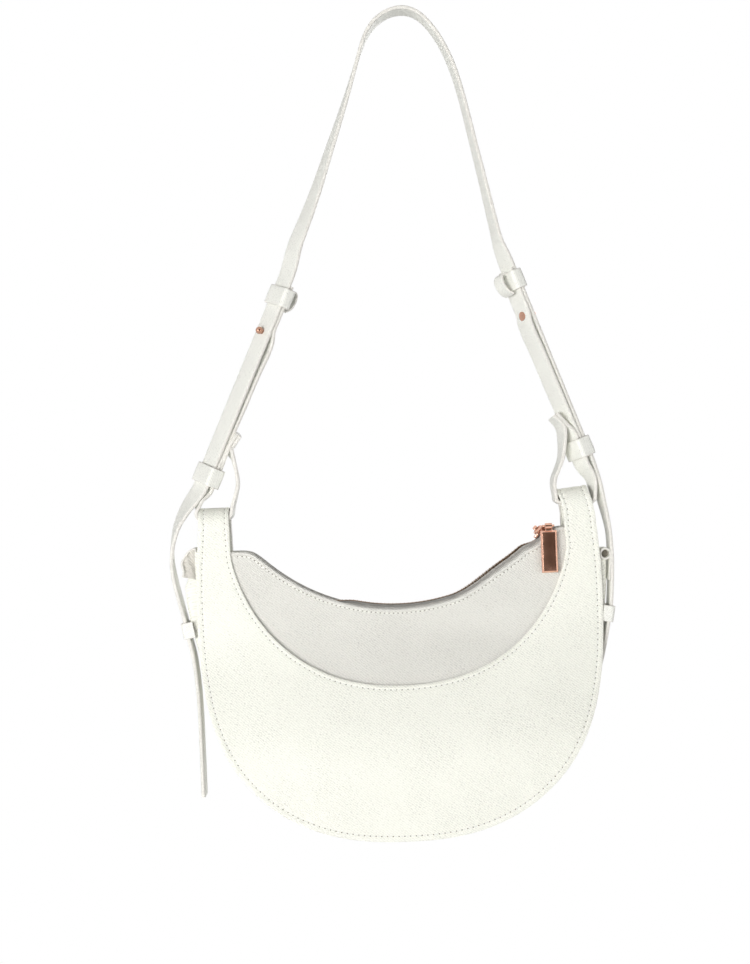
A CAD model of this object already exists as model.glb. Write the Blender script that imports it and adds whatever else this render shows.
"""Looks of a white half moon shoulder bag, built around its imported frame.

Sizes are in millimetres in the bag's own frame: X from the middle of the bag to the right, Z up
from the fold of the arms, and the front at negative Y. Meshes go to the frame of the part, in
metres, when they are finished.
"""

import logging
import math
from dataclasses import dataclass, field
from enum import Enum
from typing import Callable, Sequence
import bmesh
import bpy
from mathutils import Matrix, Vector


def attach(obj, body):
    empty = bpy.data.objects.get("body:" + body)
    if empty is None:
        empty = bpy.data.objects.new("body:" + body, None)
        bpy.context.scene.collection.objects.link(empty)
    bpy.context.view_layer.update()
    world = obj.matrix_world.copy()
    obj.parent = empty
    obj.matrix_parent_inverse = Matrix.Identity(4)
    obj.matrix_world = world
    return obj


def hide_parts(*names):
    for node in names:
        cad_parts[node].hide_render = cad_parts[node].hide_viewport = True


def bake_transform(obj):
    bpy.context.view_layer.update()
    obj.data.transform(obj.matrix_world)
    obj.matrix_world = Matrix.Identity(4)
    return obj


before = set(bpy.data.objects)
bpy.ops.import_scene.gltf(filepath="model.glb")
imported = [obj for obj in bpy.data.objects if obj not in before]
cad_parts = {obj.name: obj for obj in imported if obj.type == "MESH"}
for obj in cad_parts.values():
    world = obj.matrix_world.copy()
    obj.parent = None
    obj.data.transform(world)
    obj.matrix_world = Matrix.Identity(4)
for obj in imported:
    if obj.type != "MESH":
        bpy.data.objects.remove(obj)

LOG = logging.getLogger("half_moon_bag")
HANG_POINT = Vector((14.0, 0.0, 301.0))
METRES = 0.001
PATTERN = "pattern"
UV_UNIT = 10.0

Place = Callable[[float, float], Vector]
Flat = Callable[[float, float], tuple[float, float]]


class Named(Enum):
    """Sign of an axis with a word for the names of pieces and nodes."""

    @property
    def word(self) -> str:
        """The member's name in small letters."""
        return self.name.lower()


class Side(Named):
    """Left or right of the bag, with the sign of X."""

    LEFT = -1
    RIGHT = 1


class Face(Named):
    """Front or back of the bag, with the sign of Y."""

    FRONT = -1
    BACK = 1


def smooth(u: float) -> float:
    """Smooth step from 0 to 1."""
    v = min(1.0, max(0.0, u))
    return v * v * (3 - 2 * v)


def mix(a: float, b: float, share: float) -> float:
    """Value between two numbers."""
    return a + (b - a) * share


def dip(distance: float, centre: float, width: float) -> float:
    """Bell of height 1 around a centre."""
    return math.exp(-(((distance - centre) / width) ** 2))


def catmull_rom(points: Sequence[Vector], steps: int) -> list[Vector]:
    """Smooth curve through points, which leaves out the first and the last.

    Args:
        points: control points of any dimension.
        steps: number of steps between two points.

    Returns:
        The points of the curve.
    """
    out = []
    for i in range(1, len(points) - 2):
        a, b, c, d = points[i - 1], points[i], points[i + 1], points[i + 2]
        for k in range(steps):
            u = k / steps
            out.append(0.5 * (2 * b + (c - a) * u + (2 * a - 5 * b + 4 * c - d) * u * u
                              + (3 * b - a - 3 * c + d) * u ** 3))
    out.append(points[-2].copy())
    return out


def resample(points: Sequence[Vector], spacing: float, closed: bool = False) -> list[Vector]:
    """Points at even steps along a line.

    Args:
        points: the line.
        spacing: wanted distance between points.
        closed: whether the line returns to its start.

    Returns:
        Evenly spaced points, with the last one at the line's end unless it is closed.
    """
    line = list(points) + ([points[0]] if closed else [])
    lengths = [0.0]
    for a, b in zip(line, line[1:]):
        lengths.append(lengths[-1] + (b - a).length)
    count = max(2, round(lengths[-1] / spacing))
    out, k = [], 0
    for i in range(count + (0 if closed else 1)):
        want = lengths[-1] * i / count
        while k < len(line) - 2 and lengths[k + 1] < want:
            k += 1
        span = lengths[k + 1] - lengths[k]
        out.append(line[k].lerp(line[k + 1], (want - lengths[k]) / span if span else 0))
    return out


def directions(line: Sequence[Vector], closed: bool = False) -> list[Vector]:
    """Unit direction of a line at each of its points."""
    last = len(line) - 1
    if closed:
        return [(line[(i + 1) % (last + 1)] - line[i - 1]).normalized() for i in range(last + 1)]
    return [(line[min(i + 1, last)] - line[max(i - 1, 0)]).normalized() for i in range(last + 1)]


def round_angles(count: int) -> list[float]:
    """Angles in radians at even steps round a circle."""
    return [math.tau * k / count for k in range(count)]


def rounded_path(points: Sequence[Vector], radius: float, closed: bool) -> list[Vector]:
    """Line through corners that are rounded.

    Args:
        points: the corners.
        radius: distance from each corner at which the rounding starts.
        closed: whether the line returns to its start.

    Returns:
        The points of the rounded line.
    """
    out, n = [], len(points)
    for i, corner in enumerate(points):
        if not closed and i in (0, n - 1):
            out.append(corner.copy())
            continue
        before, after = points[i - 1], points[(i + 1) % n]
        reach = min(radius, 0.48 * (before - corner).length, 0.48 * (after - corner).length)
        a = corner + (before - corner).normalized() * reach
        b = corner + (after - corner).normalized() * reach
        for k in range(6):
            u = k / 5
            out.append(a * (1 - u) ** 2 + corner * (2 * u * (1 - u)) + b * u * u)
    return out


@dataclass(frozen=True)
class BagForm:
    """Sizes and surfaces of the bag's body: the part's, fitted to the photograph a little closer."""

    half_w: float = 123.0
    body_h: float = 198.4
    body_d: float = 68.0
    side_drop: float = 60.0
    left_power: float = 2.45
    right_power: float = 2.36
    flat_drop: float = 70.0
    swell_drop: float = 160.0
    overlay_t: float = 1.8
    gusset_t: float = 1.6
    left_bulge: float = 8.0
    right_bulge: float = 4.5
    scoop_drop: float = 107.8
    left_scoop: tuple[float, float] = (104.0, 2.2)
    right_scoop: tuple[float, float] = (105.0, 2.25)
    swell: float = 2.6
    swell_power: float = 2.4
    wave_h: float = 0.4
    arm_x: float = 110.75
    arch_w: float = 16.5
    arm_w: float = 18.6
    left_lift: float = 2.5
    right_lift: float = 6.2
    right_shift: float = -3.6
    arch_r: float = 10.1
    margin_w: float = 7.6
    web_inset: float = 6.0
    web_drop: float = 135.0
    ear_drop: float = 41.0
    zip_r: float = 120.0
    zip_z: float = 58.0

    def bulge(self, side: Side) -> float:
        """Bulge of the gusset past the panel edge."""
        return self.left_bulge if side is Side.LEFT else self.right_bulge

    def half_depth(self, z: float) -> float:
        """Half of the bag's depth at a height."""
        share = smooth((-z - self.flat_drop) / (self.swell_drop - self.flat_drop))
        return self.arch_r + (self.body_d / 2 - self.arch_r) * share

    def rim_point(self, angle: float, grow: float) -> Vector:
        """Point of the outline, from the right side at 0 over the bottom at 90 to the left.

        Args:
            angle: degrees, below 0 and past 180 up the straight sides.
            grow: distance outwards from the outline.

        Returns:
            X and Z of the point.
        """
        if angle < 0:
            return Vector((self.half_w + grow, -self.side_drop * (1 + angle / 90)))
        if angle > 180:
            return Vector((-self.half_w - grow, -self.side_drop * (1 - (angle - 180) / 90)))
        bowl = self.body_h - self.side_drop
        c, s = math.cos(math.radians(angle)), math.sin(math.radians(angle))
        p = self.right_power if c > 0 else self.left_power
        x = self.half_w * math.copysign(abs(c) ** (2 / p), c)
        z = -bowl * abs(s) ** (2 / p)
        normal = Vector((math.copysign(abs(x / self.half_w) ** (p - 1), c) / self.half_w,
                         -abs(z / bowl) ** (p - 1) / bowl)).normalized()
        return Vector((x, z - self.side_drop)) + normal * grow

    def web_grow(self, angle: float) -> float:
        """Offset of the gusset's outer face from the outline at an angle."""
        z = self.rim_point(angle, 0)[1]
        out = self.bulge(Side.RIGHT if angle < 90 else Side.LEFT)
        share = smooth((-z - self.ear_drop) / (self.web_drop - self.ear_drop))
        return out - (out + self.web_inset) * share

    def scoop_point(self, angle: float) -> Vector:
        """Point of the scoop's edge, from the right at 0 over the lowest point at 90."""
        c, s = math.cos(math.radians(angle)), math.sin(math.radians(angle))
        half, power = self.right_scoop if c > 0 else self.left_scoop
        return Vector((half * math.copysign(abs(c) ** (2 / power), c),
                       -self.scoop_drop * abs(s) ** (2 / power)))

    def sag(self, x: float, z: float, face: Face) -> float:
        """Soft swell and unevenness of the leather outwards, none at the arms and the zip."""
        low = max(0.0, -z - self.side_drop) / (self.body_h - self.side_drop)
        p = self.swell_power
        far = ((abs(x) / self.half_w) ** p + low ** p) ** (1 / p)
        middle = 1 - smooth((far - 0.68) / 0.32)
        inner = smooth((-z - 45) / 50)
        phase = 0.7 if face is Face.FRONT else 2.1
        wave = math.sin(x / 31 + phase) * math.sin(z / 27 + 1.3 * phase)
        wave += 0.5 * math.sin(x / 17 - z / 43 + phase)
        return inner * (self.swell * middle + self.wave_h * wave * min(1.0, 2 * (1 - min(1.0, far))))

    def settle(self, p: Vector) -> Vector:
        """Lets the strap pull an arm up, and the right one inwards too."""
        side = smooth((abs(p[0]) - 84) / 14)
        up = smooth((p[2] + 40) / 36) * side
        if p[0] < 0:
            return p + Vector((0, 0, self.left_lift * up))
        lean = self.right_shift * smooth((p[2] + 16) / 18) * side
        return p + Vector((lean, 0, self.right_lift * up + 0.09 * lean * (110 - p[0]) / 3))

    def on_face(self, x: float, h: float, depth: float, face: Face) -> Vector:
        """Point on the front or back, where heights above the arms' sides wrap over the fold.

        Args:
            x: distance from the middle.
            h: height, counted on along the leather where it folds over the tunnel.
            depth: depth under the surface.
            face: front or back.

        Returns:
            The point in three dimensions.
        """
        if h <= -self.arch_r:
            out = self.half_depth(h) - depth + self.sag(x, h, face)
            return Vector((x, face.value * out, h))
        turn = (h + self.arch_r) / self.arch_r
        r = self.arch_r - depth
        return Vector((x, face.value * r * math.cos(turn), r * math.sin(turn) - self.arch_r))


FORM = BagForm()


# Finishes


class Shader:
    """Small helper that builds one procedural material."""

    def __init__(self, name: str) -> None:
        """Starts a material with a Principled shader.

        Args:
            name: name of the material.
        """
        self.material = bpy.data.materials.new(name)
        self.material.use_nodes = True
        self.nodes = self.material.node_tree.nodes
        self.links = self.material.node_tree.links
        self.bsdf = self.nodes["Principled BSDF"]

    def add(self, kind: str, **values: object) -> bpy.types.Node:
        """Adds a node and sets its properties and inputs.

        Args:
            kind: Blender's name of the node type.
            values: properties, or inputs by name with underscores for blanks.

        Returns:
            The node.
        """
        node = self.nodes.new(kind)
        for key, value in values.items():
            if hasattr(node, key):
                setattr(node, key, value)
            else:
                node.inputs[key.replace("_", " ")].default_value = value
        return node

    def link(self, output: bpy.types.NodeSocket, target: bpy.types.NodeSocket) -> None:
        """Joins two sockets."""
        self.links.new(output, target)

    def set(self, **values: object) -> None:
        """Sets inputs of the Principled shader by name with underscores for blanks."""
        for key, value in values.items():
            self.bsdf.inputs[key.replace("_", " ")].default_value = value

    def pattern(self, turn: float = 0.0, size: tuple[float, float] = (1.0, 1.0)) -> bpy.types.NodeSocket:
        """Coordinates along the piece's own surface, in centimetres.

        Args:
            turn: rotation of the pattern in degrees.
            size: scale along and across.

        Returns:
            The socket with the coordinates.
        """
        uv = self.add("ShaderNodeUVMap", uv_map=PATTERN)
        mapping = self.add("ShaderNodeMapping")
        mapping.inputs["Rotation"].default_value = (0, 0, math.radians(turn))
        mapping.inputs["Scale"].default_value = (*size, 1)
        self.link(uv.outputs["UV"], mapping.inputs["Vector"])
        return mapping.outputs["Vector"]

    def place(self) -> bpy.types.NodeSocket:
        """Object coordinates, in metres."""
        return self.add("ShaderNodeTexCoord").outputs["Object"]

    def noise(self, vector: bpy.types.NodeSocket, scale: float, detail: float = 3.0) -> bpy.types.NodeSocket:
        """Noise value over coordinates."""
        node = self.add("ShaderNodeTexNoise", Scale=scale, Detail=detail)
        self.link(vector, node.inputs["Vector"])
        return node.outputs["Fac"]

    def wave(self, vector: bpy.types.NodeSocket, pitch: float, distortion: float) -> bpy.types.NodeSocket:
        """Even bands with a pitch in the units of the coordinates."""
        node = self.add("ShaderNodeTexWave", Scale=math.pi / (10 * pitch), Distortion=distortion,
                        Detail=2.0, Detail_Scale=2.2)
        self.link(vector, node.inputs["Vector"])
        return node.outputs["Fac"]

    def math(self, operation: str, *values: object) -> bpy.types.NodeSocket:
        """Sum, product or other operation on sockets or numbers."""
        node = self.add("ShaderNodeMath", operation=operation)
        for socket, value in zip(node.inputs, values):
            if isinstance(value, bpy.types.NodeSocket):
                self.link(value, socket)
            else:
                socket.default_value = value
        return node.outputs["Value"]

    def ramp(self, value: bpy.types.NodeSocket, stops: Sequence[tuple[float, tuple[float, float, float]]]
             ) -> bpy.types.NodeSocket:
        """Colour ramp over a value.

        Args:
            value: socket that drives the ramp.
            stops: positions with their colours.

        Returns:
            The socket with the colour.
        """
        node = self.add("ShaderNodeValToRGB")
        elements = node.color_ramp.elements
        while len(elements) < len(stops):
            elements.new(0.5)
        for element, (position, colour) in zip(elements, stops):
            element.position = position
            element.color = (*colour, 1)
        self.link(value, node.inputs["Fac"])
        return node.outputs["Color"]

    def bump(self, height: bpy.types.NodeSocket, distance: float, strength: float = 1.0) -> None:
        """Bump from a height, with its depth in metres."""
        node = self.add("ShaderNodeBump", Distance=distance, Strength=strength)
        self.link(height, node.inputs["Height"])
        self.link(node.outputs["Normal"], self.bsdf.inputs["Normal"])

    def colour(self, socket: bpy.types.NodeSocket) -> None:
        """Uses a colour socket as the base colour."""
        self.link(socket, self.bsdf.inputs["Base Color"])

    def roughness(self, value: bpy.types.NodeSocket, low: float, high: float) -> None:
        """Spreads a value over a range of roughness."""
        node = self.add("ShaderNodeMapRange", To_Min=low, To_Max=high)
        self.link(value, node.inputs["Value"])
        self.link(node.outputs["Result"], self.bsdf.inputs["Roughness"])


def shaded(colour: tuple[float, float, float], factor: float) -> tuple[float, float, float]:
    """Colour made darker or lighter by a factor."""
    return tuple(min(1.0, c * factor) for c in colour)


@dataclass(frozen=True)
class Leather:
    """White leather with a fine slanted cross grain pressed into it."""

    name: str = "grained_leather"
    tint: tuple[float, float, float] = (0.91, 0.91, 0.835)
    pitch: float = 0.125
    slant: float = 38.0
    depth: float = 0.0002
    rough: float = 0.5

    def make(self) -> bpy.types.Material:
        """Builds the material."""
        s = Shader(self.name)
        strong = s.wave(s.pattern(self.slant + 90), self.pitch, 5.0)
        cross = s.wave(s.pattern(self.slant - 14), self.pitch * 1.6, 6.0)
        cells = s.noise(s.pattern(self.slant, (0.45, 1.3)), 9.0)
        height = s.math("MULTIPLY_ADD", strong, 0.62, s.math("MULTIPLY", cross, 0.16))
        height = s.math("ADD", height, s.math("MULTIPLY", cells, 0.75))
        blot = s.noise(s.pattern(), 0.35)
        fine = s.math("ADD", s.math("MULTIPLY", height, 0.75), s.math("MULTIPLY", blot, 0.35))
        s.colour(s.ramp(fine, [(0.28, shaded(self.tint, 0.64)), (0.55, shaded(self.tint, 0.96)),
                               (0.9, shaded(self.tint, 1.04))]))
        s.roughness(height, self.rough + 0.1, self.rough - 0.08)
        s.bump(height, self.depth)
        s.set(Specular_IOR_Level=0.4)
        return s.material


@dataclass(frozen=True)
class EdgePaint:
    """Painted raw edge of the leather, smoother and a little greyer."""

    name: str = "edge_paint"
    tint: tuple[float, float, float] = (0.82, 0.80, 0.75)

    def make(self) -> bpy.types.Material:
        """Builds the material."""
        s = Shader(self.name)
        uneven = s.noise(s.place(), 900.0)
        s.colour(s.ramp(uneven, [(0.3, shaded(self.tint, 0.9)), (0.7, shaded(self.tint, 1.04))]))
        s.roughness(uneven, 0.34, 0.5)
        s.bump(uneven, 0.00005, 0.6)
        return s.material


@dataclass(frozen=True)
class Thread:
    """Twisted sewing thread."""

    name: str = "thread"
    tint: tuple[float, float, float] = (0.92, 0.92, 0.87)

    def make(self) -> bpy.types.Material:
        """Builds the material."""
        s = Shader(self.name)
        twist = s.noise(s.place(), 2600.0, 2.0)
        s.colour(s.ramp(twist, [(0.3, shaded(self.tint, 0.86)), (0.7, self.tint)]))
        s.roughness(twist, 0.55, 0.75)
        s.bump(twist, 0.00008)
        s.set(Sheen_Weight=0.15)
        return s.material


@dataclass(frozen=True)
class Plain:
    """Matt dark finish of needle holes and shaded gaps."""

    name: str = "needle_hole"
    tint: tuple[float, float, float] = (0.24, 0.22, 0.19)

    def make(self) -> bpy.types.Material:
        """Builds the material."""
        s = Shader(self.name)
        uneven = s.noise(s.place(), 1500.0, 2.0)
        s.colour(s.ramp(uneven, [(0.3, shaded(self.tint, 0.8)), (0.7, shaded(self.tint, 1.2))]))
        s.set(Roughness=0.9, Specular_IOR_Level=0.1)
        return s.material


@dataclass(frozen=True)
class Metal:
    """Polished or dull metal with fine scratches."""

    name: str = "polished_rose_gold"
    tint: tuple[float, float, float] = (0.80, 0.47, 0.35)
    low: float = 0.08
    high: float = 0.2
    scratch: float = 0.00001

    def make(self) -> bpy.types.Material:
        """Builds the material."""
        s = Shader(self.name)
        place = s.place()
        mapping = s.add("ShaderNodeMapping")
        mapping.inputs["Scale"].default_value = (1, 1, 0.08)
        s.link(place, mapping.inputs["Vector"])
        hairs = s.noise(mapping.outputs["Vector"], 3200.0, 4.0)
        cloud = s.noise(place, 160.0, 2.0)
        s.colour(s.ramp(cloud, [(0.3, shaded(self.tint, 0.93)), (0.7, shaded(self.tint, 1.05))]))
        s.roughness(s.math("MULTIPLY", hairs, cloud), self.low, self.high * 2)
        s.bump(hairs, self.scratch)
        s.set(Metallic=1.0)
        return s.material


@dataclass(frozen=True)
class Weave:
    """Woven cloth with warp and weft along the piece's own surface."""

    name: str
    tint: tuple[float, float, float]
    pitch: float
    turn: float = 0.0
    depth: float = 0.00012

    def make(self) -> bpy.types.Material:
        """Builds the material."""
        s = Shader(self.name)
        warp = s.wave(s.pattern(self.turn), self.pitch, 0.6)
        weft = s.wave(s.pattern(self.turn + 90), self.pitch, 0.6)
        height = s.math("MAXIMUM", warp, weft)
        soft = s.math("MULTIPLY", height, s.noise(s.pattern(), 1.2))
        s.colour(s.ramp(soft, [(0.1, shaded(self.tint, 0.68)), (0.6, shaded(self.tint, 1.1))]))
        s.bump(height, self.depth)
        s.set(Roughness=0.9, Sheen_Weight=0.25, Specular_IOR_Level=0.15)
        return s.material


class Finish(Enum):
    """Finishes of the bag, with the slot of the record that each belongs to."""

    LEATHER = ("white_leather", Leather())
    PANEL = ("white_leather", Leather("panel_leather", (0.745, 0.735, 0.69)))
    SUEDE = ("white_leather", Leather("leather_back", (0.66, 0.635, 0.58), rough=0.75))
    STRAP = ("white_leather", Leather("strap_leather", (0.91, 0.91, 0.855), 0.11, 40.0, 0.00008, 0.55))
    EDGE = ("white_leather", EdgePaint())
    THREAD = ("white_leather", Thread())
    HOLE = ("white_leather", Plain())
    ROSE_GOLD = ("rose_gold", Metal())
    STUD = ("rose_gold", Metal("stud_rose_gold", (0.52, 0.30, 0.215), 0.12, 0.25))
    BRONZE = ("tooth_metal", Metal("tooth_bronze", (0.30, 0.215, 0.15), 0.22, 0.3, 0.00002))
    TAPE = ("zip_tape", Weave("tape_weave", (0.62, 0.60, 0.56), 0.055, 45.0))
    LINING = ("lining_cloth", Weave("lining_weave", (0.62, 0.53, 0.42), 0.05))
    FELT = ("interlining", Weave("interlining_felt", (0.78, 0.77, 0.74), 0.11, 30.0))
    BOARD = ("board", Weave("grey_board", (0.24, 0.235, 0.225), 0.16, 15.0, 0.00005))

    def material(self) -> bpy.types.Material:
        """The finish's material, built once."""
        made = bpy.data.materials.get(self.value[1].name)
        return made or self.value[1].make()

    @property
    def slot(self) -> str:
        """The record's material slot."""
        return self.value[0]


# Mesh tools


def placed(name: str, data: bpy.types.ID) -> bpy.types.Object:
    """Makes an object of mesh, lamp or camera data and adds it to the scene."""
    made = bpy.data.objects.new(name, data)
    bpy.context.scene.collection.objects.link(made)
    return made


@dataclass
class Piece:
    """One mesh of the scene on its way to being finished.

    The mesh is made in the bag's frame, in millimetres.
    """

    name: str
    finishes: Sequence[Finish]
    bm: bmesh.types.BMesh = field(default_factory=bmesh.new)

    def grid(self, cols: int, rows: int, place: Place, flat: Flat, finish: int = 0,
             weld: float = 0.0) -> list[bmesh.types.BMVert]:
        """Adds a grid that is bent over a surface.

        Args:
            cols: number of faces along the first direction.
            rows: number of faces along the second direction.
            place: gives the point for two shares from 0 to 1.
            flat: gives the pattern's coordinates in millimetres for the same shares.
            finish: number of the finish among the piece's finishes.
            weld: distance at which points are merged, as on a closed section.

        Returns:
            The grid's points.
        """
        layer = self.bm.loops.layers.uv.get(PATTERN) or self.bm.loops.layers.uv.new(PATTERN)
        verts = bmesh.ops.create_grid(self.bm, x_segments=cols, y_segments=rows, size=0.5)["verts"]
        faces = {f for v in verts for f in v.link_faces}
        for face in faces:
            face.material_index = finish
            for loop in face.loops:
                u, v = flat(loop.vert.co.x + 0.5, loop.vert.co.y + 0.5)
                loop[layer].uv = (u / UV_UNIT, v / UV_UNIT)
        for vert in verts:
            vert.co = place(vert.co.x + 0.5, vert.co.y + 0.5)
        if weld:
            bmesh.ops.remove_doubles(self.bm, verts=verts, dist=weld)
        return [v for v in verts if v.is_valid]

    def sweep(self, rings: Sequence[Sequence[Vector]], finish: int = 0, closed: bool = False,
              edge_finish: int | None = None, edge_rows: Sequence[int] = ()) -> None:
        """Adds a solid bar through rings of points, closed at its ends.

        Args:
            rings: sections along the bar, each with the same number of points.
            finish: number of the finish.
            closed: whether the bar joins its own start.
            edge_finish: another finish for some strips along the bar.
            edge_rows: the strips with that finish.
        """
        n, count = len(rings), len(rings[0])
        cols = n if closed else n - 1
        along = [0.0]
        centres = [sum(r, Vector((0, 0, 0))) / count for r in rings]
        for i in range(cols):
            along.append(along[-1] + (centres[(i + 1) % n] - centres[i]).length)
        around = [0.0]
        middle = rings[n // 2]
        for j in range(count):
            around.append(around[-1] + (middle[(j + 1) % count] - middle[j]).length)
        old = set(self.bm.faces)
        self.grid(cols, count,
                  lambda u, v: rings[round(u * cols) % n][round(v * count) % count],
                  lambda u, v: (around[round(v * count)], along[round(u * cols)]), finish, 1e-4)
        new = [f for f in self.bm.faces if f not in old]
        if edge_finish is not None:
            layer = self.bm.loops.layers.uv[PATTERN]
            limits = [(around[j] / UV_UNIT - 1e-5, around[j + 1] / UV_UNIT + 1e-5) for j in edge_rows]
            for face in new:
                values = [loop[layer].uv[0] for loop in face.loops]
                if any(a <= min(values) and max(values) <= b for a, b in limits):
                    face.material_index = edge_finish
        if not closed:
            rims = [e for f in new for e in f.edges if e.is_boundary]
            caps = bmesh.ops.holes_fill(self.bm, edges=list(set(rims)))["faces"]
            for face in caps:
                face.material_index = finish if edge_finish is None else edge_finish
        bmesh.ops.recalc_face_normals(self.bm, faces=self.bm.faces)

    def dots(self, frames: Sequence[Matrix], u: int, v: int, finish: int) -> None:
        """Adds small ellipsoids, as for stitches.

        Args:
            frames: place, turn and size of each.
            u: faces around.
            v: faces from pole to pole.
            finish: number of the finish.
        """
        for matrix in frames:
            made = bmesh.ops.create_uvsphere(self.bm, u_segments=u, v_segments=v, radius=1.0, matrix=matrix)
            for face in {f for vert in made["verts"] for f in vert.link_faces}:
                face.material_index = finish

    def bevel(self, edges: Sequence[bmesh.types.BMEdge], width: float,
              segments: int) -> list[bmesh.types.BMVert]:
        """Rounds edges and returns the points that this made."""
        return bmesh.ops.bevel(self.bm, geom=edges, offset=width, offset_type="OFFSET", segments=segments,
                               profile=0.5, affect="EDGES", material=-1)["verts"]

    def block(self, matrix: Matrix, width: float, segments: int) -> None:
        """Adds a block with rounded edges.

        Args:
            matrix: place and size of the block.
            width: width of the rounding.
            segments: steps of the rounding.
        """
        made = bmesh.ops.create_cube(self.bm, size=1.0, matrix=matrix)
        self.bevel(list({e for v in made["verts"] for e in v.link_edges}), width, segments)

    def extrude(self, outline: Sequence[tuple[float, float]], low: float,
                high: float) -> tuple[list[bmesh.types.BMVert], list[bmesh.types.BMVert]]:
        """Adds a straight plate over an outline and returns its lower and upper points."""
        lower = [self.bm.verts.new((x, y, low)) for x, y in outline]
        made = bmesh.ops.extrude_face_region(self.bm, geom=[self.bm.faces.new(lower)])
        upper = [v for v in made["geom"] if isinstance(v, bmesh.types.BMVert)]
        bmesh.ops.translate(self.bm, verts=upper, vec=(0, 0, high - low))
        return lower, upper

    def turn_outwards(self, outwards: Callable[[Vector], Vector]) -> None:
        """Turns an open sheet so that its faces look outwards.

        Args:
            outwards: gives the wanted direction at a point.
        """
        self.bm.normal_update()
        total = sum(f.normal.dot(outwards(f.calc_center_median())) * f.calc_area() for f in self.bm.faces)
        if total < 0:
            bmesh.ops.reverse_faces(self.bm, faces=self.bm.faces)

    def done(self, body: str, nodes: Sequence[str] = (), thickness: float = 0.0, bevel: float = 0.0,
             bend: tuple[Vector, Vector] | None = None, sharp: float = 40.0,
             rim: int | None = None) -> bpy.types.Object:
        """Makes the object, gives it its finishes and lets it ride.

        Args:
            body: body of the frame that it rides on.
            nodes: nodes of the frame that it stands for.
            thickness: thickness that is added inwards, in millimetres.
            bevel: width of the rounding of sharp edges, in millimetres.
            bend: where it turns between the strap and the bag, from the strap's side.
            sharp: angle in degrees past which an edge stays sharp.
            rim: number of the finish on the cut edges of a sheet.

        Returns:
            The finished object.
        """
        self.bm.normal_update()
        bmesh.ops.translate(self.bm, verts=self.bm.verts, vec=-HANG_POINT)
        bmesh.ops.scale(self.bm, verts=self.bm.verts, vec=Vector((METRES,) * 3))
        mesh = bpy.data.meshes.new(self.name)
        self.bm.to_mesh(mesh)
        self.bm.free()
        piece = placed(self.name, mesh)
        for finish in self.finishes:
            mesh.materials.append(finish.material())
        mesh.shade_smooth()
        mesh.set_sharp_from_angle(angle=math.radians(sharp))
        if thickness:
            solid = piece.modifiers.new("thickness", "SOLIDIFY")
            solid.thickness = thickness * METRES
            solid.offset = -1
            if rim is not None:
                solid.material_offset_rim = rim
        if bevel:
            rounding = piece.modifiers.new("rounding", "BEVEL")
            rounding.width = bevel * METRES
            rounding.segments = 2
            rounding.limit_method = "ANGLE"
            rounding.angle_limit = math.radians(sharp)
            rounding.harden_normals = True
        if bend:
            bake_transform(piece)
        else:
            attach(piece, body)
        if nodes:
            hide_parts(*nodes)
        self.finishes[0].slot
        LOG.info("%s: %d faces on %s", self.name, len(mesh.polygons), body)
        return piece


@dataclass(frozen=True)
class Seam:
    """Row of stitches with needle holes between them."""

    pitch: float = 3.4
    stitch: float = 2.45
    width: float = 0.8
    rise: float = 0.34
    hole: float = 0.5
    slant: float = 7.0

    def sew(self, piece: Piece, line: Sequence[Vector], normal: Callable[[int, Sequence[Vector]], Vector],
            thread: int, hole: int, closed: bool = False) -> None:
        """Adds the stitches along a line.

        Args:
            piece: the piece that the stitches belong to.
            line: the seam on the surface.
            normal: gives the surface's normal at a point of the resampled line.
            thread: number of the thread's finish.
            hole: number of the hole's finish.
            closed: whether the seam returns to its start.
        """
        points = resample(line, self.pitch, closed)
        stitches, holes = [], []
        last = len(points) if closed else len(points) - 1
        for i in range(last):
            a, b = points[i], points[(i + 1) % len(points)]
            along, up = (b - a).normalized(), normal(i, points)
            across = up.cross(along).normalized()
            turn = Matrix.Rotation(math.radians(self.slant), 3, up)
            axes = Matrix((turn @ along, turn @ across, up)).transposed()
            size = Matrix.Diagonal((self.stitch / 2, self.width / 2, self.rise))
            stitches.append(Matrix.Translation((a + b) / 2) @ (axes @ size).to_4x4())
            axes = Matrix((along, across, up)).transposed()
            size = Matrix.Diagonal((self.hole, self.hole * 0.85, 0.07))
            holes.append(Matrix.Translation(a + up * 0.03) @ (axes @ size).to_4x4())
        piece.dots(stitches, 6, 4, thread)
        piece.dots(holes, 6, 3, hole)


# Body of the bag


def edge_offsets(line: Sequence[Vector], inwards: int) -> list[Vector]:
    """Unit normals of a flat line, to one side.

    Args:
        line: points in two dimensions.
        inwards: 1 or -1, the side.

    Returns:
        A normal for each point.
    """
    out = []
    for i in range(len(line)):
        t = line[min(len(line) - 1, i + 1)] - line[max(0, i - 1)]
        out.append(Vector((-t[1], t[0])).normalized() * inwards)
    return out


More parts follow.
